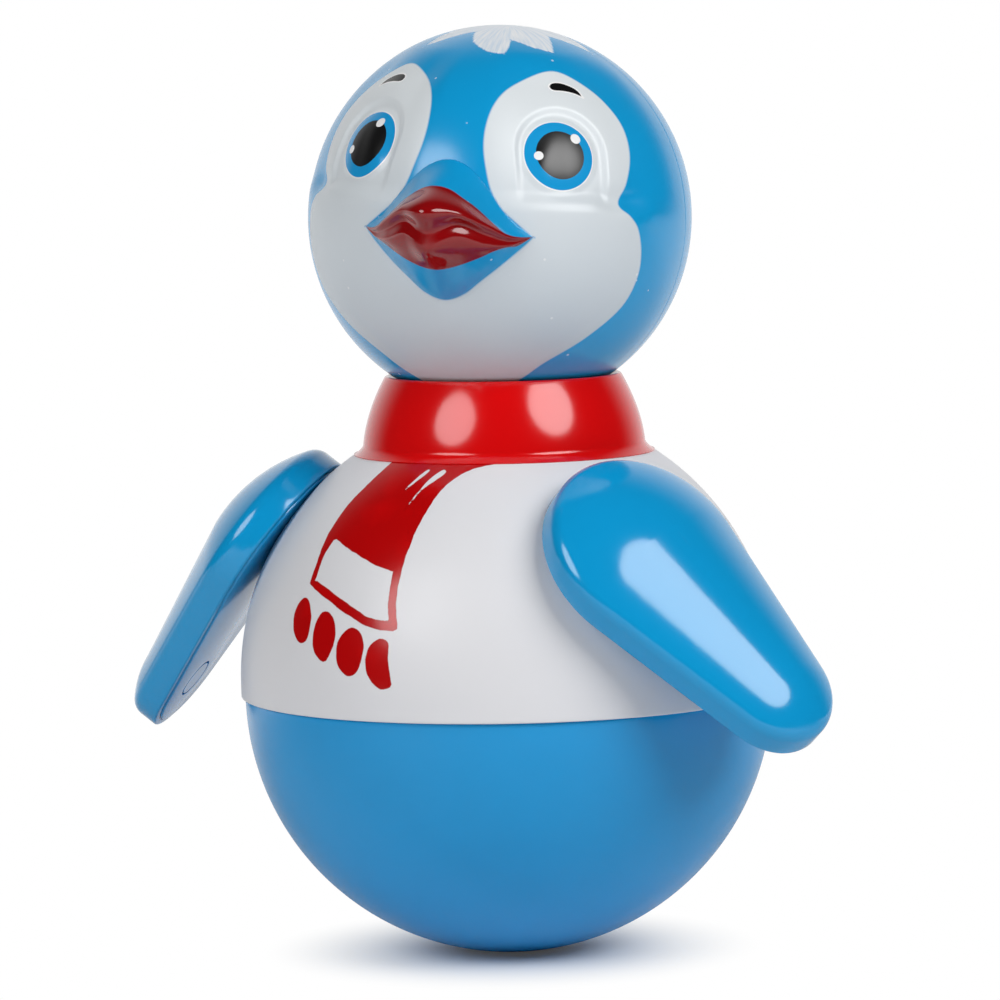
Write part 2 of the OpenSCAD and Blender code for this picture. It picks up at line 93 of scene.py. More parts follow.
class BodySizes(bpy.types.PropertyGroup):
    """Sizes of the bowl, the dome and the collar, as the frame has them."""

    bowl_r: length("Bowl radius", 64, "Outer radius of the blue bowl")
    foot_r: length("Foot radius", 6, "Radius of the small flat under the bowl")
    wall: length("Wall", 2.2, "Wall of the moulded shells")
    waist_drop: length("Waist drop", 0.5, "Depth of the waist seam below the bowl's centre")
    skirt_proud: length("Skirt step", 1, "How far the dome's skirt stands out from the bowl")
    dome_rise: length("Dome rise", 3.7, "Height of the dome's centre above the bowl's")
    spigot_h: length("Spigot height", 5, "Height of the bowl's spigot inside the skirt")
    fit_gap: length("Fit gap", 0.1, "Gap between pieces that are fixed together")
    edge_r: length("Edge radius", 0.4, "Radius on the edges of the moulded shells")
    ballast_h: length("Ballast height", 17, "Height of the boss in the bowl above its floor")
    boss_r: length("Boss radius", 6, "Radius of the boss in the bowl")
    neck_hole_r: length("Neck hole", 26.1, "Radius of the dome's hole for the collar")
    lip_out: length("Collar lip", 2.2, "How far the collar's bottom lip flares out")
    lip_h: length("Collar lip height", 2.4, "Height over which the lip flares out")
    collar_base_r: length("Collar base", 34.3, "Radius of the collar just above the lip")
    collar_top_r: length("Collar top", 28.4, "Radius of the collar at its top edge")
    collar_h: length("Collar height", 19.3, "Height of the collar above the dome")
    collar_bow: number("Collar bow", 1.85, "Power of the collar's curve")
    rim_w: length("Collar rim", 0.4, "Width of the rim round the dish for the head")
    rim_roll: length("Rim roll", 0.8, "Radius of the round on the collar's top edge")


class HeadSizes(bpy.types.PropertyGroup):
    """Sizes of the head and its moulded face, as the frame has them."""

    head_r: length("Head radius", 46.3, "Outer radius of the head")
    head_gap: length("Head gap", 0.6, "Gap between the head and the collar's dish")
    turn: angle("Turn", 18.4, "Turn of the head on the neck, towards the toy's left")
    lean: angle("Lean", 4, "Sideways lean of the face, towards the toy's left")
    eye_az: number("Eye angle", 35.3, "Degrees from the middle of the face")
    eye_el: number("Eye height", 23.2, "Degrees above the middle of the face")
    socket_r: length("Socket radius", 11.5, "Radius of the arch over the eye")
    socket_d: length("Socket depth", 0.9, "Depth of the arch over the eye")
    brow_flat: length("Eye flat", 1.3, "How far the face is flattened round the eyes")
    fold_d: length("Cheek fold", 1, "Depth of the fold between eye and cheek")


class WingSizes(bpy.types.PropertyGroup):
    """Sizes of the two wings, as the frame has them."""

    az: angle("Pin angle", 69.2, "Angle of each pin from the front of the body")
    el: angle("Pin height", 37.3, "Angle of each pin above the level")
    seat_cut: length("Seat cut", 2, "How deep the flat seat is cut into the dome")
    pad_t: length("Pad", 5, "Thickness of the flat pad inside the dome")
    seat_depth: length("Seat gap", 0.9, "Distance of the wing's rim from the seat")
    pin_drop: length("Pin drop", 7.6, "Distance of the pin down the slope")
    pin_fore: length("Pin fore", 2.4, "Distance of the pin towards the front")
    shoulder_r: length("Shoulder radius", 25.5, "Radius of the wing at the shoulder")
    tip_r: length("Tip radius", 15.2, "Radius of the wing at the tip")
    shoulder_drop: length("Shoulder drop", 2.8, "Distance from the pin to the shoulder's centre")
    reach: length("Reach", 43, "Distance from the shoulder's centre to the tip's")
    side_h: length("Side", 4.7, "Height of the side below the rounded edge")
    edge_r: length("Edge radius", 4, "Radius of the outer edge")
    slope: angle("Slope", 36, "Slope of the outer face where it meets the edge")
    wall: length("Wall", 2, "Wall of the wing shell")
    ledge_w: length("Ledge", 1, "Width of the ledge that the cover rests on")
    cover_t: length("Cover", 1.6, "Thickness of the cover")
    cover_proud: length("Cover step", 0.5, "How far the cover stands out of the wing")
    mark_r: length("Mark radius", 5.3, "Radius of the ring mark on the cover")
    mark_w: length("Mark width", 0.6, "Width of the ring mark")
    mark_d: length("Mark depth", 0.5, "Depth of the ring mark")
    left_swing: angle("Left swing", 25, "Swing of the left wing towards the back")
    right_swing: angle("Right swing", 13, "Swing of the right wing towards the back")


class ToyColours(bpy.types.PropertyGroup):
    """Colours of the plastics and the paints."""

    blue: colour("Blue plastic", "#0a9cd8", "Head and wings")
    bowl_blue: colour("Bowl blue", "#089adb", "Bowl")
    white: colour("White plastic", "#e6e6e9", "Dome")
    red: colour("Red plastic", "#dc0609", "Collar")
    scarf_red: colour("Scarf paint", "#ba0103", "Scarf on the dome")
    beak_red: colour("Beak paint", "#8c0509", "Beak")
    # Face paint at the top of the face, and the same paint darkened towards the bottom as painted
    # shade
    face_white: colour("Face paint", "#e4eaed", "Patches of the face where the spray is thick")
    face_shade: colour("Thin face paint", "#cad3da", "Patches of the face where the spray is thin")
    iris_blue: colour("Iris", "#1a9ddc", "Ring round the pupil")
    pupil_black: colour("Pupil", "#060607", "Pupils and brows")
    dot_white: colour("Dots", "#fbfbfb", "Dots and outlines of the eyes")


class StageSizes(bpy.types.PropertyGroup):
    """Place, aim and lens of the camera."""

    azimuth: angle("Camera azimuth", 35, "Towards the toy's left from the front of the body")
    distance: length("Camera distance", 1378, "Level distance of the camera")
    height: length("Camera height", 232.5, "Height of the camera")
    aim: length("Aim height", 109.6, "Height that the camera looks at")
    roll: angle("Camera roll", -1.1, "Roll of the camera about its view")
    lens: number("Lens", 205.45, "Focal length in millimetres, on a 36 mm frame")
    shift: number("Shift", -0.0053, "Sideways shift, as a share of the frame")


# Shapes


def lathe(profile, steps, closed=False):
    """A turned shape from a profile of radius and height."""
    bm = bmesh.new()
    verts = [bm.verts.new((r, 0, z)) for r, z in profile]
    pairs = list(zip(verts, verts[1:]))
    if closed:
        pairs.append((verts[-1], verts[0]))
    edges = [bm.edges.new(pair) for pair in pairs]
    bmesh.ops.spin(
        bm, geom=verts + edges, cent=(0, 0, 0), axis=(0, 0, 1), dvec=(0, 0, 0),
        angle=2 * math.pi, steps=steps, use_merge=True,
    )
    bmesh.ops.remove_doubles(bm, verts=bm.verts, dist=1e-6)
    bmesh.ops.recalc_face_normals(bm, faces=bm.faces)
    return bm


def arc(centre, radius, start, end, count):
    """Points of a round stretch of a profile, from one angle in degrees to another."""
    turns = np.radians(np.linspace(start, end, count))
    return [(centre[0] + radius * math.cos(t), centre[1] + radius * math.sin(t)) for t in turns]


def half_chord(radius, x):
    """Distance of a ball's surface from its middle plane, at the distance x from its axis."""
    return math.sqrt(radius * radius - x * x)


def levels(body, head):
    """Heights of the centres and the seams."""
    bowl_z = half_chord(body.bowl_r, body.foot_r)
    dome_r = body.bowl_r + body.skirt_proud
    dome_z = bowl_z + body.dome_rise
    collar_z = dome_z + half_chord(dome_r, body.collar_base_r + body.lip_out)
    top_z = collar_z + body.collar_h
    head_z = top_z + half_chord(head.head_r + head.head_gap, body.collar_top_r - body.rim_w)
    return {
        "bowl": bowl_z, "seam": bowl_z - body.waist_drop, "dome": dome_z, "dome_r": dome_r,
        "collar": collar_z, "collar_top": top_z, "head": head_z,
    }


def seat_matrix(wing, level, side):
    """Places a wing's seat: its middle is the origin and +Z points outwards."""
    return (
        Matrix.Translation((0, 0, level["dome"]))
        @ Matrix.Rotation(side * wing.az, 4, "Z")
        @ Matrix.Rotation(math.pi / 2 - wing.el, 4, "X")
        @ Matrix.Translation((0, 0, level["dome_r"] - wing.seat_cut))
    )


def coords(bm):
    """Places of all vertices as one array."""
    return np.array([v.co for v in bm.verts])


def move_to(bm, places):
    """Moves every vertex to its row of an array."""
    for v, place in zip(bm.verts, places):
        v.co = place


def add_piece(bm, name, body, nodes, material, crease=40):
    """Turns a finished shape into a piece that rides on a body and stands for its nodes."""
    mesh = bpy.data.meshes.new(name)
    bm.to_mesh(mesh)
    bm.free()
    mesh.materials.append(material)
    mesh.shade_smooth()
    mesh.set_sharp_from_angle(angle=math.radians(crease))
    obj = bpy.data.objects.new(name, mesh)
    bpy.context.scene.collection.objects.link(obj)
    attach(obj, body)
    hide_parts(*nodes)
    return obj


def add_field(obj, name, values):
    """Keeps one number per vertex, which the paint reads."""
    field = obj.data.attributes.new(name, "FLOAT", "POINT")
    field.data.foreach_set("value", np.asarray(values, dtype=np.float32))


def add_places(obj, name, places):
    """Keeps one place per vertex, which the paint reads."""
    field = obj.data.attributes.new(name, "FLOAT_VECTOR", "POINT")
    field.data.foreach_set("vector", np.asarray(places, dtype=np.float32).ravel())


# Paint outlines

# Steps between two points of an outline
LOOP_STEPS = 6
# Places this far outside an outline, in millimetres, or farther count the same
PAINT_REACH = 4.0


def directions(angles):
    """Unit vectors of points given as degrees to the toy's left of the front, and up."""
    az, el = np.radians(np.atleast_2d(np.asarray(angles, dtype=float))).T
    return np.stack([np.sin(az) * np.cos(el), -np.cos(az) * np.cos(el), np.sin(el)], axis=1)


def chart(dirs, centre, radius):
    """Flat places, in millimetres, of points on a ball round the centre given in degrees."""
    az = np.radians(centre[0])
    right = np.array([math.cos(az), math.sin(az), 0])
    ahead = directions(centre)[0]
    up = np.cross(ahead, right)
    x, y, z = dirs @ right, dirs @ up, dirs @ ahead
    bend = np.arccos(np.clip(z, -1, 1))
    spread = bend / np.maximum(np.hypot(x, y), 1e-9) * radius / MM
    return np.stack([x * spread, y * spread], axis=1)


def spline(a, b, c, d, t):
    """A smooth curve through four points, at the share t of the way from b to c."""
    bend, turn = 2 * a - 5 * b + 4 * c - d, 3 * b - a - 3 * c + d
    return 0.5 * (2 * b + (c - a) * t + bend * t**2 + turn * t**3)


def smooth_loop(points):
    """A closed curve through the points; a point given twice running stays a corner."""
    p = np.asarray(points, dtype=float)
    row = [np.roll(p, shift, axis=0) for shift in (1, 0, -1, -2)]
    shares = np.arange(LOOP_STEPS) / LOOP_STEPS
    return np.stack([spline(*row, t) for t in shares], axis=1).reshape(-1, 2)


def inside_by(places, outline):
    """How far places lie inside a closed outline, in millimetres; outside is negative."""
    low, high = outline.min(axis=0) - PAINT_REACH, outline.max(axis=0) + PAINT_REACH
    near = np.all((places > low) & (places < high), axis=1)
    p = places[near]
    gap = np.full(len(p), np.inf)
    odd = np.zeros(len(p), dtype=bool)
    for a, b in zip(outline, np.roll(outline, -1, axis=0)):
        run = b - a
        span = run @ run
        if span == 0:
            continue
        share = np.clip((p - a) @ run / span, 0, 1)
        gap = np.minimum(gap, np.hypot(*(p - a - share[:, None] * run).T))
        if a[1] != b[1]:
            crossing = (a[1] > p[:, 1]) != (b[1] > p[:, 1])
            odd ^= crossing & (p[:, 0] < a[0] + (p[:, 1] - a[1]) * run[0] / run[1])
    found = np.full(len(places), -PAINT_REACH)
    found[near] = np.where(odd, gap, -np.minimum(gap, PAINT_REACH))
    return found


def painted(dirs, centre, radius, outlines):
    """How far points lie inside any of the outlines, which are given in degrees."""
    places = chart(dirs, centre, radius)
    best = np.full(len(dirs), -PAINT_REACH)
    for outline in outlines:
        loop = smooth_loop(chart(directions(outline), centre, radius))
        best = np.maximum(best, inside_by(places, loop))
    return best


def mirrored(points):
    """The outline's points on the other side of the face, in the opposite order."""
    return [(-az, el) for az, el in reversed(points)]


# Materials

NOISE = "ShaderNodeTexNoise"
RANGE = "ShaderNodeMapRange"
MIX = "ShaderNodeMix"
MATH = "ShaderNodeMath"
FIELD = "ShaderNodeAttribute"
BUMP = "ShaderNodeBump"
CELLS = "ShaderNodeTexVoronoi"
COORDS = "ShaderNodeTexCoord"
VECTOR = "ShaderNodeVectorMath"
# Refractive indices of the plastics
POLYSTYRENE = 1.59
POLYPROPYLENE = 1.49
# Heights, in metres, over which the face paint goes from painted shade at the bottom to plain at
# the top
FACE_SHADE_LOW, FACE_SHADE_HIGH = 0.15, 0.21


def add_node(tree, kind, inputs=None, **settings):
    """Adds a node with its settings, and its inputs as values or links. Returns its outputs."""
    node = tree.nodes.new(kind)
    for key, value in settings.items():
        setattr(node, key, value)
    for key, value in (inputs or {}).items():
        if isinstance(value, bpy.types.NodeSocket):
            tree.links.new(value, node.inputs[key])
        else:
            node.inputs[key].default_value = value
    return node.outputs


def per(millimetres):
    """Scale of a pattern on metre coordinates whose features are this many millimetres wide."""
    return 1 / (millimetres * MM)


def new_material(name):
    """An empty node material, its shader and its object coordinates."""
    material = bpy.data.materials.new(name)
    material.use_nodes = True
    tree = material.node_tree
    shader = tree.nodes["Principled BSDF"]
    place = add_node(tree, COORDS)["Object"]
    return material, tree, shader, place


def link_shader(tree, sockets):
    """Links sockets to the inputs of the surface's shader."""
    for name, socket in sockets.items():
        tree.links.new(socket, tree.nodes["Principled BSDF"].inputs[name])


def rgba(value, level=1):
    """A colour property, brighter or darker by a level, as a shader colour."""
    return (*(min(1, c * level) for c in value), 1)


def moulded_plastic(name, base, roughness, tint=0.06, index=POLYSTYRENE):
    """Injection-moulded plastic: glossy, with the faint ripple of a polished mould and a slight
    cloudiness in its colour, so long highlights wander a little instead of looking machined."""
    material, tree, shader, place = new_material(name)
    cloud = add_node(tree, NOISE, {"Vector": place, "Scale": per(22), "Detail": 3})["Fac"]
    tones = {0: cloud, 6: rgba(base, 1 - tint), 7: rgba(base, 1 + tint)}
    tone = add_node(tree, MIX, tones, data_type="RGBA")[2]
    wear = add_node(tree, NOISE, {"Vector": place, "Scale": per(9), "Detail": 4})["Fac"]
    glosses = {"Value": wear, "To Min": roughness * 0.85, "To Max": roughness * 1.15}
    gloss = add_node(tree, RANGE, glosses)[0]
    ripple = add_node(tree, NOISE, {"Vector": place, "Scale": per(6), "Detail": 1})["Fac"]
    bump = add_node(tree, BUMP, {"Height": ripple, "Strength": 0.05, "Distance": 0.4 * MM})[0]
    link_shader(tree, {"Base Color": tone, "Roughness": gloss, "Normal": bump})
    shader.inputs["IOR"].default_value = index
    return material


def lay_coat(tree, mask, paint, gloss):
    """Lays a coat of paint with its own gloss over a shader's colour, where the mask is 1."""
    shader = tree.nodes["Principled BSDF"]
    under = [shader.inputs[name].links[0].from_socket for name in ("Base Color", "Roughness")]
    tone = add_node(tree, MIX, {0: mask, 6: under[0], 7: paint}, data_type="RGBA")[2]
    rough = add_node(tree, MIX, {0: mask, 2: under[1], 3: gloss})[0]
    link_shader(tree, {"Base Color": tone, "Roughness": rough})


def scarf_material(colours):
    """White polypropylene under a scarf brushed on in one coat of red enamel: the edge wanders as
    a hand does, the paint pools darker along it, and the coat is brighter where it is thin."""
    name = "white_polypropylene_painted_scarf"
    material = moulded_plastic(name, colours.white, 0.42, 0.01, POLYPROPYLENE)
    tree = material.node_tree
    place = add_node(tree, COORDS)["Object"]
    waver = add_node(tree, NOISE, {"Vector": place, "Scale": per(4), "Detail": 2})["Fac"]
    shake = add_node(tree, RANGE, {"Value": waver, "To Min": -0.35, "To Max": 0.35})[0]
    drawn = add_node(tree, FIELD, attribute_name="scarf")["Fac"]
    field = add_node(tree, MATH, {0: drawn, 1: shake}, operation="ADD")[0]
    mask = add_node(tree, RANGE, {"Value": field, "From Min": -0.08, "From Max": 0.08})[0]
    edge = {"Value": field, "From Min": 0.55, "From Max": 0.15, "To Max": 0.4}
    pool = add_node(tree, RANGE, edge)[0]
    coat = add_node(tree, NOISE, {"Vector": place, "Scale": per(14), "Detail": 2})["Fac"]
    thin = add_node(tree, RANGE, {"Value": coat, "From Min": 0.52, "From Max": 0.75})[0]
    reds = [rgba(colours.scarf_red, level) for level in (1, 1.25, 0.7)]
    paint = add_node(tree, MIX, {0: thin, 6: reds[0], 7: reds[1]}, data_type="RGBA")[2]
    paint = add_node(tree, MIX, {0: pool, 6: paint, 7: reds[2]}, data_type="RGBA")[2]
    lay_coat(tree, mask, paint, 0.18)
    return material


def head_material(name, colours, face):
    """Blue polystyrene with a dry brush of white on the crown that leaves bristle streaks, and on
    the front half the coats of the face."""
    material = moulded_plastic(name, colours.blue, 0.22, 0.04)
    tree = material.node_tree
    brush = add_node(tree, FIELD, attribute_name="brush")["Vector"]
    bristle = add_node(tree, NOISE, {"Vector": brush, "Scale": 1, "Detail": 3})["Fac"]
    tuft = add_node(tree, FIELD, attribute_name="tuft")["Fac"]
    frayed = {"Value": bristle, "From Min": 0.2, "From Max": 0.8, "To Max": 0.5}
    ragged = add_node(tree, RANGE, frayed)[0]
    crown = add_node(tree, MATH, {0: tuft, 1: ragged}, operation="ADD")[0]
    solid = add_node(tree, RANGE, {"Value": crown, "From Min": 0.05, "From Max": 0.6})[0]
    cover = {"Value": bristle, "From Min": 0.15, "From Max": 0.65, "To Min": 0.5, "To Max": 0.92}
    streak = add_node(tree, RANGE, cover)[0]
    mask = add_node(tree, MATH, {0: solid, 1: streak}, operation="MULTIPLY")[0]
    lay_coat(tree, mask, rgba(colours.dot_white), 0.4)
    if face:
        lay_face(tree, colours)
    return material


def lay_face(tree, colours):
    """The coats of the face: satin white spray, darkened towards the bottom as painted shade, with
    a few specks of dust on it, glossy lacquer brushed on the beak, and the printed brows and eyes."""
    place = add_node(tree, COORDS)["Object"]
    # Painted shade: the face paint turns darker towards the bottom of the face, by height
    height = add_node(tree, "ShaderNodeSeparateXYZ", {0: place})["Z"]
    heights = {"Value": height, "From Min": FACE_SHADE_LOW, "From Max": FACE_SHADE_HIGH}
    unshaded = add_node(tree, RANGE, heights)[0]
    shade_tones = {0: unshaded, 6: rgba(colours.face_shade), 7: rgba(colours.face_white)}
    spray = add_node(tree, MIX, shade_tones, data_type="RGBA")[2]
    white, black = rgba(colours.dot_white), rgba(colours.pupil_black)
    lay_print(tree, "patch", -0.25, 0.25, spray, 0.4)
    dust = add_node(tree, CELLS, {"Vector": place, "Scale": per(5)})
    grain = {"Value": dust["Distance"], "From Min": 0.08, "From Max": 0.05}
    speck = add_node(tree, RANGE, grain)[0]
    chosen = {"Value": dust["Color"], "From Min": 0.58, "From Max": 0.6, "To Max": 0.5}
    few = add_node(tree, RANGE, chosen)[0]
    specks = add_node(tree, MATH, {0: speck, 1: few}, operation="MULTIPLY")[0]
    lay_coat(tree, specks, white, 0.4)
    coats = (
        ("lacquer", -0.1, 0.1, rgba(colours.beak_red), 0.1),
        ("brow", -0.5, -0.35, white, 0.3), ("brow", -0.06, 0.06, black, 0.25),
        ("iris", -0.36, -0.24, white, 0.2), ("iris", -0.06, 0.06, rgba(colours.iris_blue), 0.12),
        ("pupil", -0.06, 0.06, black, 0.3), ("dots", -0.06, 0.06, white, 0.15),
    )
    for coat in coats:
        lay_print(tree, *coat)


def lay_print(tree, field, start, end, paint, gloss):
    """Lays a coat inside an outline, whose edge fades from start to end of its field."""
    inside = add_node(tree, FIELD, attribute_name=field)["Fac"]
    mask = add_node(tree, RANGE, {"Value": inside, "From Min": start, "From Max": end})[0]
    lay_coat(tree, mask, paint, gloss)


def plated_steel():
    """Zinc-plated steel: bright, with a cool crystalline spangle that changes its gloss."""
    material, tree, shader, place = new_material("zinc_plated_steel")
    shader.inputs["Metallic"].default_value = 1
    spangle = add_node(tree, CELLS, {"Vector": place, "Scale": per(2.5)})
    greys = {0: spangle["Color"], 6: rgba(srgb("#b4b8bd")), 7: rgba(srgb("#c6cad0"))}
    tone = add_node(tree, MIX, greys, data_type="RGBA")[2]
    gloss = add_node(tree, RANGE, {"Value": spangle["Distance"], "To Min": 0.24, "To Max": 0.4})[0]
    link_shader(tree, {"Base Color": tone, "Roughness": gloss})
    return material


def cast_iron():
    """Sand-cast iron: dark, dull and pitted at the size of the sand's grains."""
    material, tree, shader, place = new_material("cast_iron")
    shader.inputs["Metallic"].default_value = 0.8
    shader.inputs["Roughness"].default_value = 0.62
    grain = add_node(tree, NOISE, {"Vector": place, "Scale": per(0.8), "Detail": 4})["Fac"]
    greys = {0: grain, 6: rgba(srgb("#3a3c3f")), 7: rgba(srgb("#5c5f63"))}
    tone = add_node(tree, MIX, greys, data_type="RGBA")[2]
    pits = {"Height": grain, "Strength": 0.5, "Distance": 0.3 * MM}
    bump = add_node(tree, BUMP, pits)[0]
    link_shader(tree, {"Base Color": tone, "Normal": bump})
    return material


def assign(material, *nodes):
    """Gives CAD nodes that show as they are their finish."""
    for node in nodes:
        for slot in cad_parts[node].material_slots:
            slot.material = material


# Body

# Steps round the turned shells
BOWL_STEPS = 240
DOME_STEPS = 480
COLLAR_STEPS = 200
# Points of the bowl's, the dome's and the collar's outsides, and of the shells' insides
BOWL_POINTS = 90
DOME_POINTS = 110
COLLAR_POINTS = 40
INSIDE_POINTS = 24
# Round on the collar's lip, the power of its flare, and the bore for the neck
LIP_ROUND = 0.5 * MM
LIP_CURVE = 1.5
NECK_BORE_R = 9.1 * MM


class TOY_OT_bowl(bpy.types.Operator):
    """Builds the blue bowl with its small flat foot, its wall and its spigot"""

    bl_idname = "toy.bowl"
    bl_label = "Bowl"

    def execute(self, context):
        body, head = context.scene.toy_body, context.scene.toy_head
        level = levels(body, head)
        z, seam = level["bowl"], level["seam"]
        rim_r = half_chord(body.bowl_r, body.waist_drop)
        foot = -math.degrees(math.acos(body.foot_r / body.bowl_r))
        waist = -math.degrees(math.asin((body.waist_drop + body.edge_r) / body.bowl_r))
        spigot_r = level["dome_r"] - body.wall - body.fit_gap
        in_r = body.bowl_r - body.wall
        spigot_in = spigot_r - body.wall
        boss_z = z - in_r + body.ballast_h
        boss = -math.degrees(math.acos(body.boss_r / in_r))
        inner = -math.degrees(math.acos(spigot_in / in_r))
        profile = [(0, 0)]
        profile += arc((0, z), body.bowl_r, foot, waist, BOWL_POINTS)
        profile += arc((rim_r - body.edge_r, seam - body.edge_r), body.edge_r, 20, 90, 5)
        profile += [(spigot_r, seam), (spigot_r, seam + body.spigot_h)]
        profile += [(spigot_in, seam + body.spigot_h)]
        profile += arc((0, z), in_r, inner, boss, INSIDE_POINTS)
        profile += [(body.boss_r, boss_z), (0, boss_z)]
        # Polypropylene from a fine mould: satin, so the lamps show as broad soft glows
        blue = context.scene.toy_colours.bowl_blue
        material = moulded_plastic("blue_polypropylene", blue, 0.25, index=POLYPROPYLENE)
        bm = lathe(profile, BOWL_STEPS)
        add_piece(bm, "bowl", "body", ["lower_shell"], material)
        return {"FINISHED"}


# Outlines of the scarf, in degrees to the left of the body's front and up from the dome's centre
SCARF = [
    (-12.5, 62), (-12.5, 57), (-14.8, 49), (-17, 42), (-17.7, 35), (-17, 28.5), (-16.7, 24),
    (-16.7, 24), (-13.8, 22.8), (-8, 20.6), (-3, 18.4), (3.5, 15.9), (9.3, 15.2), (10.7, 15.6),
    (10.7, 15.6), (9.6, 22), (9.7, 28.5), (10.7, 36.5), (12.9, 44.3), (16.3, 50), (22, 53.9),
    (30, 55.8), (38, 56.6), (44, 60), (15, 64),
]
SCARF_WINDOW = [
    (-14.2, 34.8), (-14.2, 34.8), (-8, 32.6), (1, 29.6), (7.5, 27.8), (7.5, 27.8), (7.6, 22),
    (8.5, 17.2), (8.5, 17.2), (3.2, 18), (-3, 20.6), (-9, 23), (-14.9, 25), (-14.9, 25),
    (-15.2, 30),
]
FRINGE = [
    [
        (-17.6, 20.8), (-15.2, 20.4), (-13, 17), (-13.2, 12.6), (-15.6, 11.4), (-18.4, 14),
        (-19.2, 18),
    ],
    [(-9.6, 18.6), (-6.4, 17.6), (-4.8, 13.6), (-6.2, 8.8), (-8.4, 8.2), (-11, 11), (-11.3, 15.4)],
    [(-1.2, 15.6), (1.9, 14.4), (3, 10.8), (1.6, 6.4), (-1, 5.6), (-3.6, 8), (-3.9, 12.4)],
    [
        (6.4, 13.5), (8.9, 12.8), (9.1, 9.4), (10.2, 3.8), (10.2, 3.8), (7.4, 3.2), (4.3, 6),
        (3.8, 10.6),
    ],
]
SCARF_STROKES = [
    [(2.4, 48.4), (2.4, 48.4), (3.8, 51), (6.2, 53.9), (7.4, 53.9), (5.2, 51.2)],
    [(5.6, 43.2), (5.6, 43.2), (7, 47.6), (11.4, 53.6), (13.6, 54), (13.2, 52.6), (8.6, 48.4)],
]
SCARF_CENTRE = (0, 35)


class TOY_OT_dome(bpy.types.Operator):
    """Builds the white dome with its skirt, its flat wing seats and its painted scarf"""

    bl_idname = "toy.dome"
    bl_label = "Dome and scarf"

    def execute(self, context):
        body, wing = context.scene.toy_body, context.scene.toy_wing
        level = levels(body, context.scene.toy_head)
        r, z, low = level["dome_r"], level["dome"], level["seam"]
        edge = body.edge_r
        in_r = r - body.wall
        neck = math.degrees(math.acos(body.neck_hole_r / r))
        neck_in = math.degrees(math.acos(body.neck_hole_r / in_r))
        profile = arc((r - edge, low + edge), edge, -90, 0, 5)
        profile += [(r, low + (z - low) * t) for t in (0.25, 0.5, 0.75)]
        profile += arc((0, z), r, 0, neck, DOME_POINTS)
        profile += arc((0, z), in_r, neck_in, 0, INSIDE_POINTS)
        profile += [(in_r, low)]
        bm = lathe(profile, DOME_STEPS, closed=True)
        places = coords(bm)
        for side in (1, -1):
            seat = np.array(seat_matrix(wing, level, side))
            out, middle = seat[:3, 2], seat[:3, 3]
            above = (places - middle) @ out
            outer = np.linalg.norm(places - (0, 0, z), axis=1) > r - body.wall / 2
            cut = np.where(outer, np.maximum(above, 0), np.maximum(above + wing.pad_t, 0))
            places = places - cut[:, None] * out
        move_to(bm, places)
        material = scarf_material(context.scene.toy_colours)
        obj = add_piece(bm, "dome", "body", ["upper_shell"], material)
        dirs = (places - (0, 0, z)) / np.linalg.norm(places - (0, 0, z), axis=1)[:, None]
        scarf = painted(dirs, SCARF_CENTRE, r, [SCARF])
        bare = painted(dirs, SCARF_CENTRE, r, [SCARF_WINDOW] + SCARF_STROKES)
        fringe = painted(dirs, SCARF_CENTRE, r, FRINGE)
        add_field(obj, "scarf", np.maximum(np.minimum(scarf, -bare), fringe))
        return {"FINISHED"}


class TOY_OT_collar(bpy.types.Operator):
    """Builds the red collar with its flared lip, rolled top edge and dish for the head"""

    bl_idname = "toy.collar"
    bl_label = "Collar"

    def execute(self, context):
        body, head = context.scene.toy_body, context.scene.toy_head
        level = levels(body, head)
        dish_r = head.head_r + head.head_gap
        end, rim, lean = self.top_edge(body, level, dish_r)
        outside = []
        for t in np.linspace(0, 1, COLLAR_POINTS) ** LIP_CURVE * end:
            outside.append((self.radius(body, t), level["collar"] + t * body.collar_h))
        hole_z = level["dome"] + half_chord(level["dome_r"], body.neck_hole_r)
        profile = [(body.neck_hole_r, hole_z)]
        lip = (outside[0][0] - LIP_ROUND, level["collar"] + LIP_ROUND)
        profile += arc(lip, LIP_ROUND, -90, -20, 4)
        profile += outside[2:-1]
        fall = math.degrees(math.atan2(rim[1] - level["head"], rim[0]))
        profile += arc(rim, body.rim_roll, lean, fall + 180, 10)
        profile += arc((0, level["head"]), dish_r, fall, -78, 14)[1:]
        profile += [(NECK_BORE_R, level["head"] - dish_r - body.wall)]
        # Polystyrene from a polished mould: glossy, so the lamps show as clear bright ovals
        material = moulded_plastic("red_polystyrene", context.scene.toy_colours.red, 0.14, 0.03)
        bm = lathe(profile, COLLAR_STEPS, closed=True)
        add_piece(bm, "neck_collar", "body", ["collar"], material)
        return {"FINISHED"}

    def radius(self, body, t):
        """Radius of the collar's outside at the share t of its height."""
        flare = max(0, 1 - t * body.collar_h / body.lip_h)
        drop = body.collar_base_r - body.collar_top_r
        return body.collar_base_r - drop * t**body.collar_bow + body.lip_out * flare**LIP_CURVE

    def top_edge(self, body, level, dish_r):
        """Where the outside ends, and the middle and the start of the round that meets the dish."""
        drop = body.collar_base_r - body.collar_top_r
        for t in np.linspace(1, 0.7, 301):
            lean = math.atan(drop * body.collar_bow * t ** (body.collar_bow - 1) / body.collar_h)
            x = self.radius(body, t) - body.rim_roll * math.cos(lean)
            z = level["collar"] + t * body.collar_h - body.rim_roll * math.sin(lean)
            if math.hypot(x, z - level["head"]) >= dish_r + body.rim_roll:
                return t, (x, z), math.degrees(lean)
        raise RuntimeError("the round of the collar's top edge doesn't meet the dish")


# Head

# Degrees from the beak's middle to its corners
BEAK_HALF = 26.0
# Least distance of two lines in degrees, and how much the slope is softened where the beak starts
BEAK_GAP = 1e-3
BEAK_SOFT = 0.6
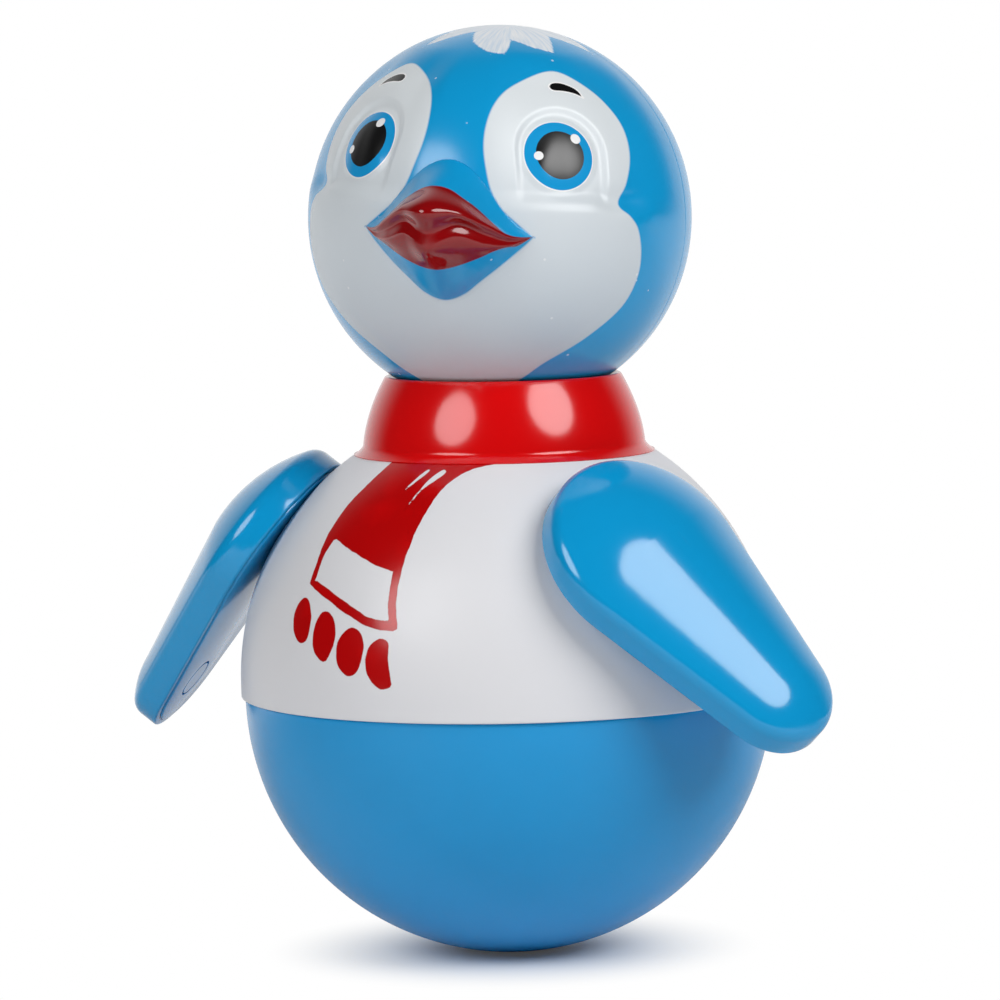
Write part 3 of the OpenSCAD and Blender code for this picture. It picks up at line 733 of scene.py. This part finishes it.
# Lines across the beak at five places from its middle to its corners: degrees up, and
# millimetres out of the head
BEAK_LINES = (
    ((19.4, 17.2, 10.8, 2.6, -1.8), (0.5, 0.5, 0.4, 0.3, 0)),
    ((10.1, 8.0, 3.2, -0.6, -1.9), (8.3, 7.2, 5.2, 2.6, 0.3)),
    ((3.4, 3.6, 1.1, -1.9, -2.0), (17, 12.8, 8.0, 3.6, 0.4)),
    ((-1.2, 1.1, -1.2, -3.0, -2.1), (13.4, 10.0, 6.4, 2.8, 0.1)),
    ((-4.0, -1.6, -3.6, -4.2, -2.2), (13.4, 10.6, 6.8, 3.0, 0.2)),
    ((-10.8, -9.3, -7.0, -4.8, -2.3), (6.6, 6.2, 4.6, 2.2, 0.2)),
    ((-22.3, -20.0, -14.6, -8.6, -2.4), (0, 0, 0, 0, 0)),
)

# Where the face is flat round the eyes, and where the cheeks fold: each pair starts and ends a
# slope, in degrees up from the middle of the face or to its sides
EYE_LOW, EYE_HIGH, EYE_NEAR, EYE_FAR = (5, 12), (62, 46), (8, 26), (82, 58)
FOLD_EL, FOLD_W, FOLD_NEAR, FOLD_FAR = 8.5, 3.5, (44, 54), (70, 58)
# Middle of the arch over the eye, from the eye's, in mm
SOCKET_AT = (0.8, 0.9)
# Slopes at the arch's edge and foot, in mm, and how much shallower it is towards the beak
ARCH_EDGE, ARCH_FOOT, ARCH_FADE = (0.9, -1.3), (-13.5, -9.5), 0.6
# Radius and height of the eyeball, in mm
EYEBALL_R, EYEBALL_H = 10.4, 0.9
# Width of the shadow line where the head's halves meet, its depth, and how far the head's inside
# lies below its outside
SEAM_W = 0.35 * MM
SEAM_D = 0.08 * MM
INNER_DROP = 5 * MM
# Splits of the head's ball, more round these centres as far as these reaches, both in degrees, and
# the least angle of a sharp edge
BALL_SPLITS = 7
FACE_REACHES = (((0, 0), 70), ((0, -2), 28))
HEAD_CREASE = 60
# Tilts of the rings of the head's inside, in degrees, and the one, in radians, past which it shuts
INNER_TILTS = (0, 10, 25, 40, 55, 70, 82, 90)
SHUT = 1.5


def ease(x, start, end):
    """A smooth step from 0 at start to 1 at end."""
    t = np.clip((x - start) / (end - start), 0, 1)
    return t * t * (3 - 2 * t)


def beak_out(az, el):
    """How far the beak stands out of the head, in millimetres, at angles in degrees."""
    across = np.minimum(np.abs(az) / BEAK_HALF, 1)
    rise = np.stack([soft_line(across, line) for line, _ in BEAK_LINES])
    out = np.stack([soft_line(across, heights) for _, heights in BEAK_LINES])
    rise = np.minimum.accumulate(rise, axis=0) - np.arange(len(rise))[:, None] * BEAK_GAP
    run = rise[:-1] - rise[1:]
    slope = (out[1:] - out[:-1]) / run
    flat = slope[:-1] * slope[1:] <= 0
    mean = 2 * slope[:-1] * slope[1:] / np.where(flat, 1, slope[:-1] + slope[1:])
    lean = np.concatenate([slope[:1] * BEAK_SOFT, np.where(flat, 0, mean), slope[-1:]])
    found = np.zeros_like(el)
    for i in range(len(run)):
        here = (el <= rise[i]) & (el > rise[i + 1])
        t = np.where(here, (rise[i] - el) / run[i], 0)
        curve = (
            out[i] * (1 + 2 * t) * (1 - t) ** 2 + run[i] * lean[i] * t * (1 - t) ** 2
            + out[i + 1] * t * t * (3 - 2 * t) + run[i] * lean[i + 1] * t * t * (t - 1)
        )
        found = np.where(here, curve, found)
    return np.where(np.abs(az) < BEAK_HALF, np.maximum(found, 0), 0)


def soft_line(across, values):
    """A smooth line through values from the middle of the beak to its corner."""
    p = np.array([values[1], *values, 2 * values[-1] - values[-2]], dtype=float)
    spans = len(values) - 1
    step = np.clip(across * spans, 0, spans - 1e-4)
    i = step.astype(int)
    return spline(p[i], p[i + 1], p[i + 2], p[i + 3], step - i)


def face_out(dirs, head):
    """How far the moulded face stands out of the head's ball, in metres, at unit vectors."""
    az = np.degrees(np.arctan2(dirs[:, 0], -dirs[:, 1]))
    el = np.degrees(np.arcsin(np.clip(dirs[:, 2], -1, 1)))
    side = np.abs(az)
    eyes = ease(el, *EYE_LOW) * ease(el, *EYE_HIGH) * ease(side, *EYE_NEAR) * ease(side, *EYE_FAR)
    out = -head.brow_flat / MM * eyes
    fold = np.exp(-((el - FOLD_EL) / FOLD_W) ** 2) * ease(side, *FOLD_NEAR) * ease(side, *FOLD_FAR)
    out -= head.fold_d / MM * fold
    for turn in (-1, 1):
        u, v = chart(dirs, (turn * head.eye_az, head.eye_el), head.head_r).T
        u, v = u * turn - SOCKET_AT[0], v - SOCKET_AT[1]
        arch = np.where(v > 0, np.hypot(u, v), np.abs(u))
        socket = head.socket_r / MM
        depth = ease(arch, *(socket + e for e in ARCH_EDGE)) * ease(v, *ARCH_FOOT)
        depth *= 1 - ARCH_FADE * ease(v - u, 9, 0) * ease(u, 1, -7)
        out -= head.socket_d / MM * depth
        ball = np.clip(1 - (np.hypot(u + SOCKET_AT[0], v + SOCKET_AT[1]) / EYEBALL_R) ** 2, 0, 1)
        out += EYEBALL_H * ball**0.8
    return (out + beak_out(az, el)) * MM


def head_matrix(head, level):
    """Places the face's own frame, in which it looks along -Y."""
    return (
        Matrix.Translation((0, 0, level["head"]))
        @ Matrix.Rotation(head.turn, 4, "Z")
        @ Matrix.Rotation(head.lean, 4, "Y")
    )


def refine(bm, head, reaches):
    """Splits the edges round each centre as far as its reach, both in degrees."""
    for centre, reach in reaches:
        ahead = Vector(directions(centre)[0])
        limit = math.cos(math.radians(reach))
        middles = {e: e.verts[0].co + e.verts[1].co for e in bm.edges}
        edges = [e for e, middle in middles.items() if middle.normalized().dot(ahead) > limit]
        bmesh.ops.subdivide_edges(bm, edges=edges, cuts=1, use_grid_fill=True)
    for v in bm.verts:
        v.co = v.co.normalized() * head.head_r


def half_ball(head, side, reaches):
    """One half of the head's ball as a closed shell; side -1 is the front."""
    bm = bmesh.new()
    bmesh.ops.create_icosphere(bm, subdivisions=BALL_SPLITS, radius=head.head_r)
    refine(bm, head, reaches)
    for offset, clear in ((SEAM_W, False), (0, True)):
        bmesh.ops.bisect_plane(
            bm, geom=bm.verts[:] + bm.edges[:] + bm.faces[:], dist=1e-7,
            plane_co=(0, side * offset, 0), plane_no=(0, side, 0), clear_inner=clear,
        )
    rim = [e for e in bm.edges if e.is_boundary]
    inner_r = head.head_r - INNER_DROP
    for tilt in np.radians(INNER_TILTS):
        found = bmesh.ops.extrude_edge_only(bm, edges=rim)["geom"]
        rim = [g for g in found if isinstance(g, bmesh.types.BMEdge)]
        for v in (g for g in found if isinstance(g, bmesh.types.BMVert)):
            flat = Vector((v.co.x, 0, v.co.z)).normalized() * inner_r
            if tilt > SHUT:
                flat = Vector((0, 0, 0))
            v.co = flat * math.cos(tilt) + Vector((0, side * inner_r * math.sin(tilt), 0))
    bmesh.ops.remove_doubles(bm, verts=bm.verts, dist=1e-6)
    bmesh.ops.recalc_face_normals(bm, faces=bm.faces)
    return bm


# Outlines of the face paint, in degrees to the left of the face's middle and up
PATCH_HALF = [
    (6.3, -20.2), (11.5, -15.8), (17.1, -11), (23.6, -5), (26.4, -2), (26.4, -2), (21, 2.2),
    (16.9, 5.8), (13.5, 11), (11.6, 17), (10.2, 24), (10.3, 31), (12.4, 38.4), (17.5, 45),
    (27, 50.5), (40, 53.3), (50.5, 50), (58.2, 44), (62.6, 36), (63.5, 29), (62, 21.5), (58.5, 14),
    (55, 8), (58.5, 4.5), (61.5, 0.5), (63.5, -6.5), (63.7, -14), (60.5, -23), (50.5, -33.5),
    (38, -43.5), (31, -51), (22, -58), (10, -64),
]
PATCH = [(0, -22.3), *PATCH_HALF, (0, -66), *mirrored(PATCH_HALF)]
LACQUER_HALF = [
    (3.5, 9.6), (7, 7.6), (10.5, 5.3), (15, 1.5), (18, -0.8), (21.5, -1.8), (26, -1.9), (26, -1.9),
    (21.8, -4.5), (18.6, -4.7), (15, -5.8), (12, -7.3), (7.5, -9.1), (3.5, -10.4),
]
LACQUER = [(0, 10.2), *LACQUER_HALF, (0, -10.9), *mirrored(LACQUER_HALF)]
BROW = [
    (36, 47.4), (38.1, 48.6), (42, 48.6), (46.5, 47.3), (48.9, 45.7), (49.9, 43.4), (49.9, 43.4),
    (46.4, 44.8), (41.8, 45.6), (37.1, 45.9),
]
TUFT_REAR = [
    (104, 74), (122, 63), (138, 73), (162, 60), (178, 74), (-158, 62), (-140, 73), (-118, 61),
    (-100, 74), (-84, 64), (-66, 74),
]
TUFT = [
    (-47, 61.5), (-47, 61.5), (-39, 66), (-24, 74.5), (-24, 74.5), (-11, 66.8), (-1, 62.6),
    (6, 60.4), (14.3, 59.8), (14.3, 59.8), (16.4, 63), (19, 69), (19, 69), (33, 64.5), (46, 61.3),
    (46, 61.3), (51, 66.6), (61, 73), (61, 73), (74, 67.5), (82, 62), (82, 62), (92, 68),
    *np.repeat(TUFT_REAR, 2, axis=0),
]
# Bristle strokes round the crown for each radian, and how they change along their length, per mm
STROKES = 24
STROKE_RUN = 0.12
# Radii of the iris and the pupil and the middle of the pupil, in millimetres
IRIS_R = 8.85
PUPIL_R = 6.2
PUPIL_AT = (0.2, 0)
# Dots of light on the left and the right eye: across, up and radius in millimetres
EYE_DOTS = {1: ((4.6, 4.4, 1.35), (-5.4, -0.4, 1.15)), -1: ((1.8, 5.7, 1.35), (-5.3, -2, 1.1))}


class TOY_OT_head(bpy.types.Operator):
    """Builds the head's two halves with the moulded beak and cheeks and the painted face"""

    bl_idname = "toy.head"
    bl_label = "Head and face"

    def execute(self, context):
        head, colours = context.scene.toy_head, context.scene.toy_colours
        level = levels(context.scene.toy_body, head)
        halves = (
            ("face_shell", -1, "head_front", FACE_REACHES),
            ("head_back_shell", 1, "head_back", ()),
        )
        for name, side, node, reaches in halves:
            bm = half_ball(head, side, reaches)
            places = coords(bm)
            far = np.linalg.norm(places, axis=1)
            dirs = places / np.maximum(far, 1e-9)[:, None]
            outer = far > head.head_r - INNER_DROP / 2
            seam = SEAM_D * np.clip(1 - np.abs(places[:, 1]) / SEAM_W, 0, 1)
            out = face_out(dirs, head) if side < 0 else 0
            r = np.where(outer, head.head_r + out - seam, far)
            turn = np.array(head_matrix(head, level))
            move_to(bm, (dirs * r[:, None]) @ turn[:3, :3].T + turn[:3, 3])
            material = head_material("blue_polystyrene_" + name, colours, side < 0)
            obj = add_piece(bm, name, "head", [node], material, HEAD_CREASE)
            self.paint(obj, dirs, head, side < 0)
        return {"FINISHED"}

    def paint(self, obj, dirs, head, face):
        """Keeps the fields and places that the paint of a half reads."""
        crown = chart(dirs, (0, 90), head.head_r)
        add_field(obj, "tuft", painted(dirs, (0, 90), head.head_r, [TUFT]))
        around = np.arctan2(crown[:, 0], -crown[:, 1])
        along = np.hypot(crown[:, 0], crown[:, 1])
        strokes = [around * STROKES, along * STROKE_RUN, along * 0]
        add_places(obj, "brush", np.stack(strokes, axis=1))
        if not face:
            return
        add_field(obj, "patch", painted(dirs, (0, 0), head.head_r, [PATCH]))
        add_field(obj, "lacquer", painted(dirs, (0, 0), head.head_r, [LACQUER]))
        add_field(obj, "brow", painted(dirs, (0, 40), head.head_r, [BROW, mirrored(BROW)]))
        eyes = {}
        for side in (1, -1):
            eyes[side] = chart(dirs, (side * head.eye_az, head.eye_el), head.head_r)
        eye = np.where(dirs[:, :1] > 0, eyes[1], eyes[-1])
        add_field(obj, "iris", IRIS_R - np.hypot(*eye.T))
        add_field(obj, "pupil", PUPIL_R - np.hypot(*(eye - PUPIL_AT).T))
        dots = np.full(len(dirs), -PAINT_REACH)
        for side, spots in EYE_DOTS.items():
            for x, y, r in spots:
                dots = np.maximum(dots, r - np.hypot(*(eyes[side] - (x, y)).T))
        add_field(obj, "dots", dots)


# Wings

# Rounds on the rim and the cover, the cover's clearance, its pin hole and the slope of its mark
RIM_ROUND = 0.5 * MM
COVER_ROUND = 0.35 * MM
COVER_GAP = 0.15 * MM
PIN_HOLE_R = 4.1 * MM
MARK_SLOPE = 0.1 * MM
# Least round on the edge of the hollow
HOLLOW_ROUND = 0.2 * MM
# Points round a wing's shoulder and its tip, along each side between them, and of a circle
SHOULDER_POINTS = 56
TIP_POINTS = 40
SIDE_POINTS = 14
CIRCLE_POINTS = 48
# Rings of the rounded edge, and slopes of the crown's rings as shares of the slope at its edge
EDGE_RINGS = 13
CROWN_RINGS = np.array([0.94, 0.86, 0.76, 0.64, 0.51, 0.38, 0.26, 0.15, 0.06])


def wing_outline(wing, shoulder, tip):
    """Points of a wing's outline with these radii at the shoulder and the tip."""
    tilt = math.asin((shoulder - tip) / wing.reach)
    points = []
    ends = (
        (0, shoulder, -tilt, math.pi + tilt, SHOULDER_POINTS),
        (-wing.reach, tip, math.pi + tilt, 2 * math.pi - tilt, TIP_POINTS),
    )
    for middle, r, start, end, count in ends:
        turns = np.linspace(start, end, count)
        points += [Vector((r * math.cos(t), middle + r * math.sin(t), 0)) for t in turns]
        last = points[-1]
        far, far_mid = (tip, -wing.reach) if middle == 0 else (shoulder, 0)
        goal = Vector((far * math.cos(end), far_mid + far * math.sin(end), 0))
        points += [last.lerp(goal, i / SIDE_POINTS) for i in range(1, SIDE_POINTS)]
    return points


def add_loop(bm, points):
    """A closed loop of new edges through the points."""
    verts = [bm.verts.new(p) for p in points]
    return [bm.edges.new(pair) for pair in zip(verts, verts[1:] + verts[:1])]


def loft(bm, loops):
    """Skins a row of loops."""
    for near, far in zip(loops, loops[1:]):
        bmesh.ops.bridge_loops(bm, edges=near + far)


def circle_points(middle_y, radius, z):
    """Points of a level circle round a point of the wing's long axis."""
    turns = [2 * math.pi * i / CIRCLE_POINTS for i in range(CIRCLE_POINTS)]
    return [Vector((radius * math.cos(t), middle_y + radius * math.sin(t), z)) for t in turns]


def crowned_rings(wing, inset, low, edge):
    """Rings of a wing's side, its rounded edge and its crowned face, from the rim to the middle.

    Each is the radius at the shoulder and at the tip, and the height at both."""
    rings = [(inset, low), (inset, (low + wing.side_h) / 2)]
    for turn in np.linspace(0, math.pi / 2 - wing.slope, EDGE_RINGS):
        rings.append((inset + edge * (1 - math.cos(turn)), wing.side_h + edge * math.sin(turn)))
    rows = [(wing.shoulder_r - i, wing.tip_r - i, z, z) for i, z in rings]
    big, small, high, _ = rows[-1]
    for turn in wing.slope * CROWN_RINGS:
        share = math.sin(turn) / math.sin(wing.slope)
        rise = (math.cos(turn) - math.cos(wing.slope)) / math.sin(wing.slope)
        rows.append((big * share, small * share, high + big * rise, high + small * rise))
    return rows


def flat_ring(wing, inset, z):
    """A level ring of a wing: the radius at the shoulder and at the tip, and the height at both."""
    return (wing.shoulder_r - inset, wing.tip_r - inset, z, z)


def ring_points(wing, ring):
    """Points of one ring of a wing, in the frame of its pin."""
    shoulder, tip, near, far = ring
    points = []
    for p in wing_outline(wing, shoulder, tip):
        share = min(max(-p.y / wing.reach, 0), 1)
        points.append(Vector((p.x, p.y - wing.shoulder_drop, near + (far - near) * share)))
    return points


def wing_shell_shape(wing):
    """The hollow shell of a wing, from its inner face over the rim to its crown."""
    ledge = wing.cover_t - wing.cover_proud
    edge = max(HOLLOW_ROUND, wing.edge_r - wing.wall)
    hollow = crowned_rings(wing, wing.wall + wing.ledge_w, ledge, edge)
    soft = RIM_ROUND
    rim = [(wing.wall, ledge), (wing.wall, soft / 2), (wing.wall - soft / 2, 0)]
    for turn in np.radians((0, 30, 60, 90)):
        rim.append((soft * (1 - math.sin(turn)), soft * (1 - math.cos(turn))))
    rim = [flat_ring(wing, inset, z) for inset, z in rim]
    outside = crowned_rings(wing, 0, soft, wing.edge_r)[1:]
    bm = bmesh.new()
    loops = [add_loop(bm, ring_points(wing, ring)) for ring in hollow[::-1] + rim + outside]
    loft(bm, loops)
    for end in (loops[0], loops[-1]):
        bmesh.ops.edgeloop_fill(bm, edges=end)
    bmesh.ops.recalc_face_normals(bm, faces=bm.faces)
    return bm


def wing_cover_shape(wing):
    """The flat cover inside a wing, with its pin hole and its ring mark near the tip."""
    bm = bmesh.new()
    inset = wing.wall + COVER_GAP
    low, high, soft = -wing.cover_proud, wing.cover_t - wing.cover_proud, COVER_ROUND
    side = [(inset, high), (inset, low + soft)]
    for turn in np.radians((30, 60, 90)):
        side.append((inset + soft * (1 - math.cos(turn)), low + soft * (1 - math.sin(turn))))
    loops = [add_loop(bm, ring_points(wing, flat_ring(wing, *ring))) for ring in side]
    loft(bm, loops)
    holes = [add_loop(bm, circle_points(0, PIN_HOLE_R, z)) for z in (high, low)]
    loft(bm, holes)
    outer, inner, deep = wing.mark_r, wing.mark_r - wing.mark_w, low + wing.mark_d
    mark = [(outer, low), (outer - MARK_SLOPE, deep), (inner + MARK_SLOPE, deep), (inner, low)]
    marks = [add_loop(bm, circle_points(-wing.shoulder_drop - wing.reach, r, z)) for r, z in mark]
    loft(bm, marks)
    for edges in (loops[0] + holes[0], loops[-1] + holes[1] + marks[0], marks[-1]):
        bmesh.ops.triangle_fill(bm, edges=edges, use_beauty=True)
    bmesh.ops.recalc_face_normals(bm, faces=bm.faces)
    return bm


class TOY_OT_wings(bpy.types.Operator):
    """Builds both wings: the crowned shells and the flat covers on their inner sides"""

    bl_idname = "toy.wings"
    bl_label = "Wings"

    def execute(self, context):
        wing, colours = context.scene.toy_wing, context.scene.toy_colours
        level = levels(context.scene.toy_body, context.scene.toy_head)
        # Polystyrene from a polished mould: the glossiest piece, with long clear highlights
        material = moulded_plastic("blue_polystyrene_wings", colours.blue, 0.13, 0.04)
        for word, side, swing in (("left", 1, wing.left_swing), ("right", -1, wing.right_swing)):
            place = (
                seat_matrix(wing, level, side)
                @ Matrix.Translation((-side * wing.pin_fore, -wing.pin_drop, wing.seat_depth))
                @ Matrix.Rotation(side * swing, 4, "Z")
            )
            for part, shape in (("shell", wing_shell_shape), ("cover", wing_cover_shape)):
                bm = shape(wing)
                bmesh.ops.transform(bm, matrix=place, verts=bm.verts)
                node = f"{word}_wing_{part}"
                add_piece(bm, node + "_skin", f"{word}_wing", [node], material)
        return {"FINISHED"}


class TOY_OT_works(bpy.types.Operator):
    """Finishes the pins, the neck, the ballast and the chime inside"""

    bl_idname = "toy.works"
    bl_label = "Pins, ballast and chime"

    def execute(self, context):
        # Polypropylene without colour: milky and satin
        white = moulded_plastic("natural_polypropylene", srgb("#dcdcd6"), 0.4, 0.02, POLYPROPYLENE)
        assign(
            white, "collar_lock_ring", "neck_spool", "chime_base", "left_wing_pin", "right_wing_pin"
        )
        assign(
            plated_steel(), "neck_clip", "left_wing_clip", "right_wing_clip", "ballast_washer",
            "ballast_screw", "chime_rods", "chime_bridge", "bridge_screws", "link_ring", "striker",
        )
        assign(cast_iron(), "ballast")
        return {"FINISHED"}


# Stage

# Width of the camera's frame, in millimetres, and how far it sees, in metres
FRAME_W = 36
SIGHT = 30
# Radius of the table top, and where it turns plain white round the toy and behind it, in metres
FLOOR_R = 6
FLOOR_FADE = {"From Min": 0.015, "From Max": 0.062, "To Min": 0.05}
FLOOR_BEHIND = {"From Min": 0.05, "From Max": 0.4}
# Where the room turns white, as a share of straight back, and its level on both sides of that
ROOM_TURN = {"From Min": 0.35, "From Max": 0.9}
ROOM_LEVELS = {"To Min": 0.03, "To Max": 0.9}
# Degrees to the right of the camera and up, distance and width in metres, and power in watts
LAMPS = {
    "left_softbox": (-45, 29, 1.3, 0.76, 7.2),
    "right_softbox": (47, 36, 1.3, 0.82, 10.6),
}


def backwards(stage):
    """Level unit vector away from the camera."""
    return Vector((-math.sin(stage.azimuth), math.cos(stage.azimuth), 0))


class TOY_OT_stage(bpy.types.Operator):
    """Builds the floor, the lights, the white surround and the camera"""

    bl_idname = "toy.stage"
    bl_label = "Stage"

    def execute(self, context):
        scene, stage = context.scene, context.scene.toy_stage
        camera = bpy.data.cameras.new("camera")
        camera.lens, camera.sensor_width = stage.lens, FRAME_W
        camera.shift_x, camera.clip_end = stage.shift, SIGHT
        eye = bpy.data.objects.new("camera", camera)
        eye.location = Vector((0, 0, stage.height)) - backwards(stage) * stage.distance
        aim = Vector((0, 0, stage.aim)) - eye.location
        turn = aim.to_track_quat("-Z", "Y").to_matrix().to_4x4()
        eye.rotation_euler = (turn @ Matrix.Rotation(stage.roll, 4, "Z")).to_euler()
        scene.collection.objects.link(eye)
        scene.camera = eye
        self.add_floor(scene, stage)
        self.add_lights(scene, stage)
        self.add_surround(scene, stage)
        scene.view_settings.view_transform = "Standard"
        return {"FINISHED"}

    def add_floor(self, scene, stage):
        """A white table top that keeps the toy's shadow and fades to plain white far away."""
        bm = bmesh.new()
        bmesh.ops.create_circle(bm, cap_ends=True, radius=FLOOR_R, segments=64)
        mesh = bpy.data.meshes.new("floor")
        bm.to_mesh(mesh)
        bm.free()
        floor = bpy.data.objects.new("floor", mesh)
        scene.collection.objects.link(floor)
        material, tree, shader, place = new_material("white_card")
        shader.inputs["Base Color"].default_value = rgba(srgb("#f4f4f5"))
        shader.inputs["Roughness"].default_value = 0.6
        far = add_node(tree, VECTOR, {0: place}, operation="LENGTH")["Value"]
        ring = {"Value": far, **FLOOR_FADE}
        fade = add_node(tree, RANGE, ring, interpolation_type="SMOOTHSTEP")[0]
        ways = {0: place, 1: backwards(stage)}
        along = add_node(tree, VECTOR, ways, operation="DOT_PRODUCT")["Value"]
        behind = add_node(tree, RANGE, {"Value": along, **FLOOR_BEHIND})[0]
        rays = self.plain_rays(tree, behind)
        plain = add_node(tree, MATH, {0: rays, 1: fade}, operation="MULTIPLY")[0]
        white = add_node(tree, "ShaderNodeEmission")[0]
        blend = add_node(tree, "ShaderNodeMixShader", {0: plain, 1: shader.outputs[0], 2: white})[0]
        tree.links.new(blend, tree.nodes["Material Output"].inputs["Surface"])
        mesh.materials.append(material)

    def plain_rays(self, tree, behind):
        """1 for the rays that show plain white: the camera's, and mirrored ones going back."""
        path = add_node(tree, "ShaderNodeLightPath")
        bounced = {0: path["Is Glossy Ray"], 1: path["Is Transmission Ray"]}
        mirror = add_node(tree, MATH, bounced, operation="MAXIMUM")[0]
        mirror = add_node(tree, MATH, {0: mirror, 1: behind}, operation="MULTIPLY")[0]
        return add_node(tree, MATH, {0: path["Is Camera Ray"], 1: mirror}, operation="MAXIMUM")[0]

    def add_lights(self, scene, stage):
        """Two round softboxes, one on each side of the camera."""
        aim = Vector((0, 0, stage.aim))
        for name, (side, rise, away, wide, power) in LAMPS.items():
            lamp = bpy.data.lights.new(name, "AREA")
            lamp.shape, lamp.size, lamp.energy = "DISK", wide, power
            az, el = stage.azimuth + math.radians(side), math.radians(rise)
            way = Vector((math.sin(az) * math.cos(el), -math.cos(az) * math.cos(el), math.sin(el)))
            obj = bpy.data.objects.new(name, lamp)
            obj.location = aim + way * away
            obj.rotation_euler = (-way).to_track_quat("-Z", "Y").to_euler()
            scene.collection.objects.link(obj)

    def add_surround(self, scene, stage):
        """A room that is white behind the toy, dim on the camera's side, and white when seen."""
        world = bpy.data.worlds.new("white_room")
        scene.world = world
        world.use_nodes = True
        tree = world.node_tree
        ways = {0: add_node(tree, COORDS)["Generated"], 1: backwards(stage)}
        facing = add_node(tree, VECTOR, ways, operation="DOT_PRODUCT")["Value"]
        turn = {"Value": facing, **ROOM_TURN}
        backdrop = add_node(tree, RANGE, turn, interpolation_type="SMOOTHSTEP")[0]
        room = add_node(tree, RANGE, {"Value": backdrop, **ROOM_LEVELS})[0]
        plain = self.plain_rays(tree, backdrop)
        level = add_node(tree, MATH, {0: plain, 1: room}, operation="MAXIMUM")[0]
        ground = tree.nodes["Background"]
        ground.inputs["Color"].default_value = (1, 1, 1, 1)
        tree.links.new(level, ground.inputs["Strength"])


OPERATORS = (
    TOY_OT_bowl, TOY_OT_dome, TOY_OT_collar, TOY_OT_head, TOY_OT_wings, TOY_OT_works, TOY_OT_stage
)
GROUPS = {
    "toy_body": BodySizes, "toy_head": HeadSizes, "toy_wing": WingSizes,
    "toy_colours": ToyColours, "toy_stage": StageSizes,
}


class TOY_PT_panel(bpy.types.Panel):
    """Lists the steps that build the toy"""

    bl_label = "Roly Poly"
    bl_idname = "TOY_PT_panel"
    bl_space_type = "VIEW_3D"
    bl_region_type = "UI"
    bl_category = "Roly Poly"

    def draw(self, context):
        for operator in OPERATORS:
            self.layout.operator(operator.bl_idname)


def register():
    for cls in (*GROUPS.values(), *OPERATORS, TOY_PT_panel):
        bpy.utils.register_class(cls)
    for name, group in GROUPS.items():
        setattr(bpy.types.Scene, name, PointerProperty(type=group))


def unregister():
    for name in GROUPS:
        delattr(bpy.types.Scene, name)
    for cls in (TOY_PT_panel, *reversed(OPERATORS), *GROUPS.values()):
        bpy.utils.unregister_class(cls)


def main():
    register()
    bpy.ops.toy.bowl()
    bpy.ops.toy.dome()
    bpy.ops.toy.collar()
    bpy.ops.toy.head()
    bpy.ops.toy.wings()
    bpy.ops.toy.works()
    bpy.ops.toy.stage()


if __name__ == "__main__":
    main()
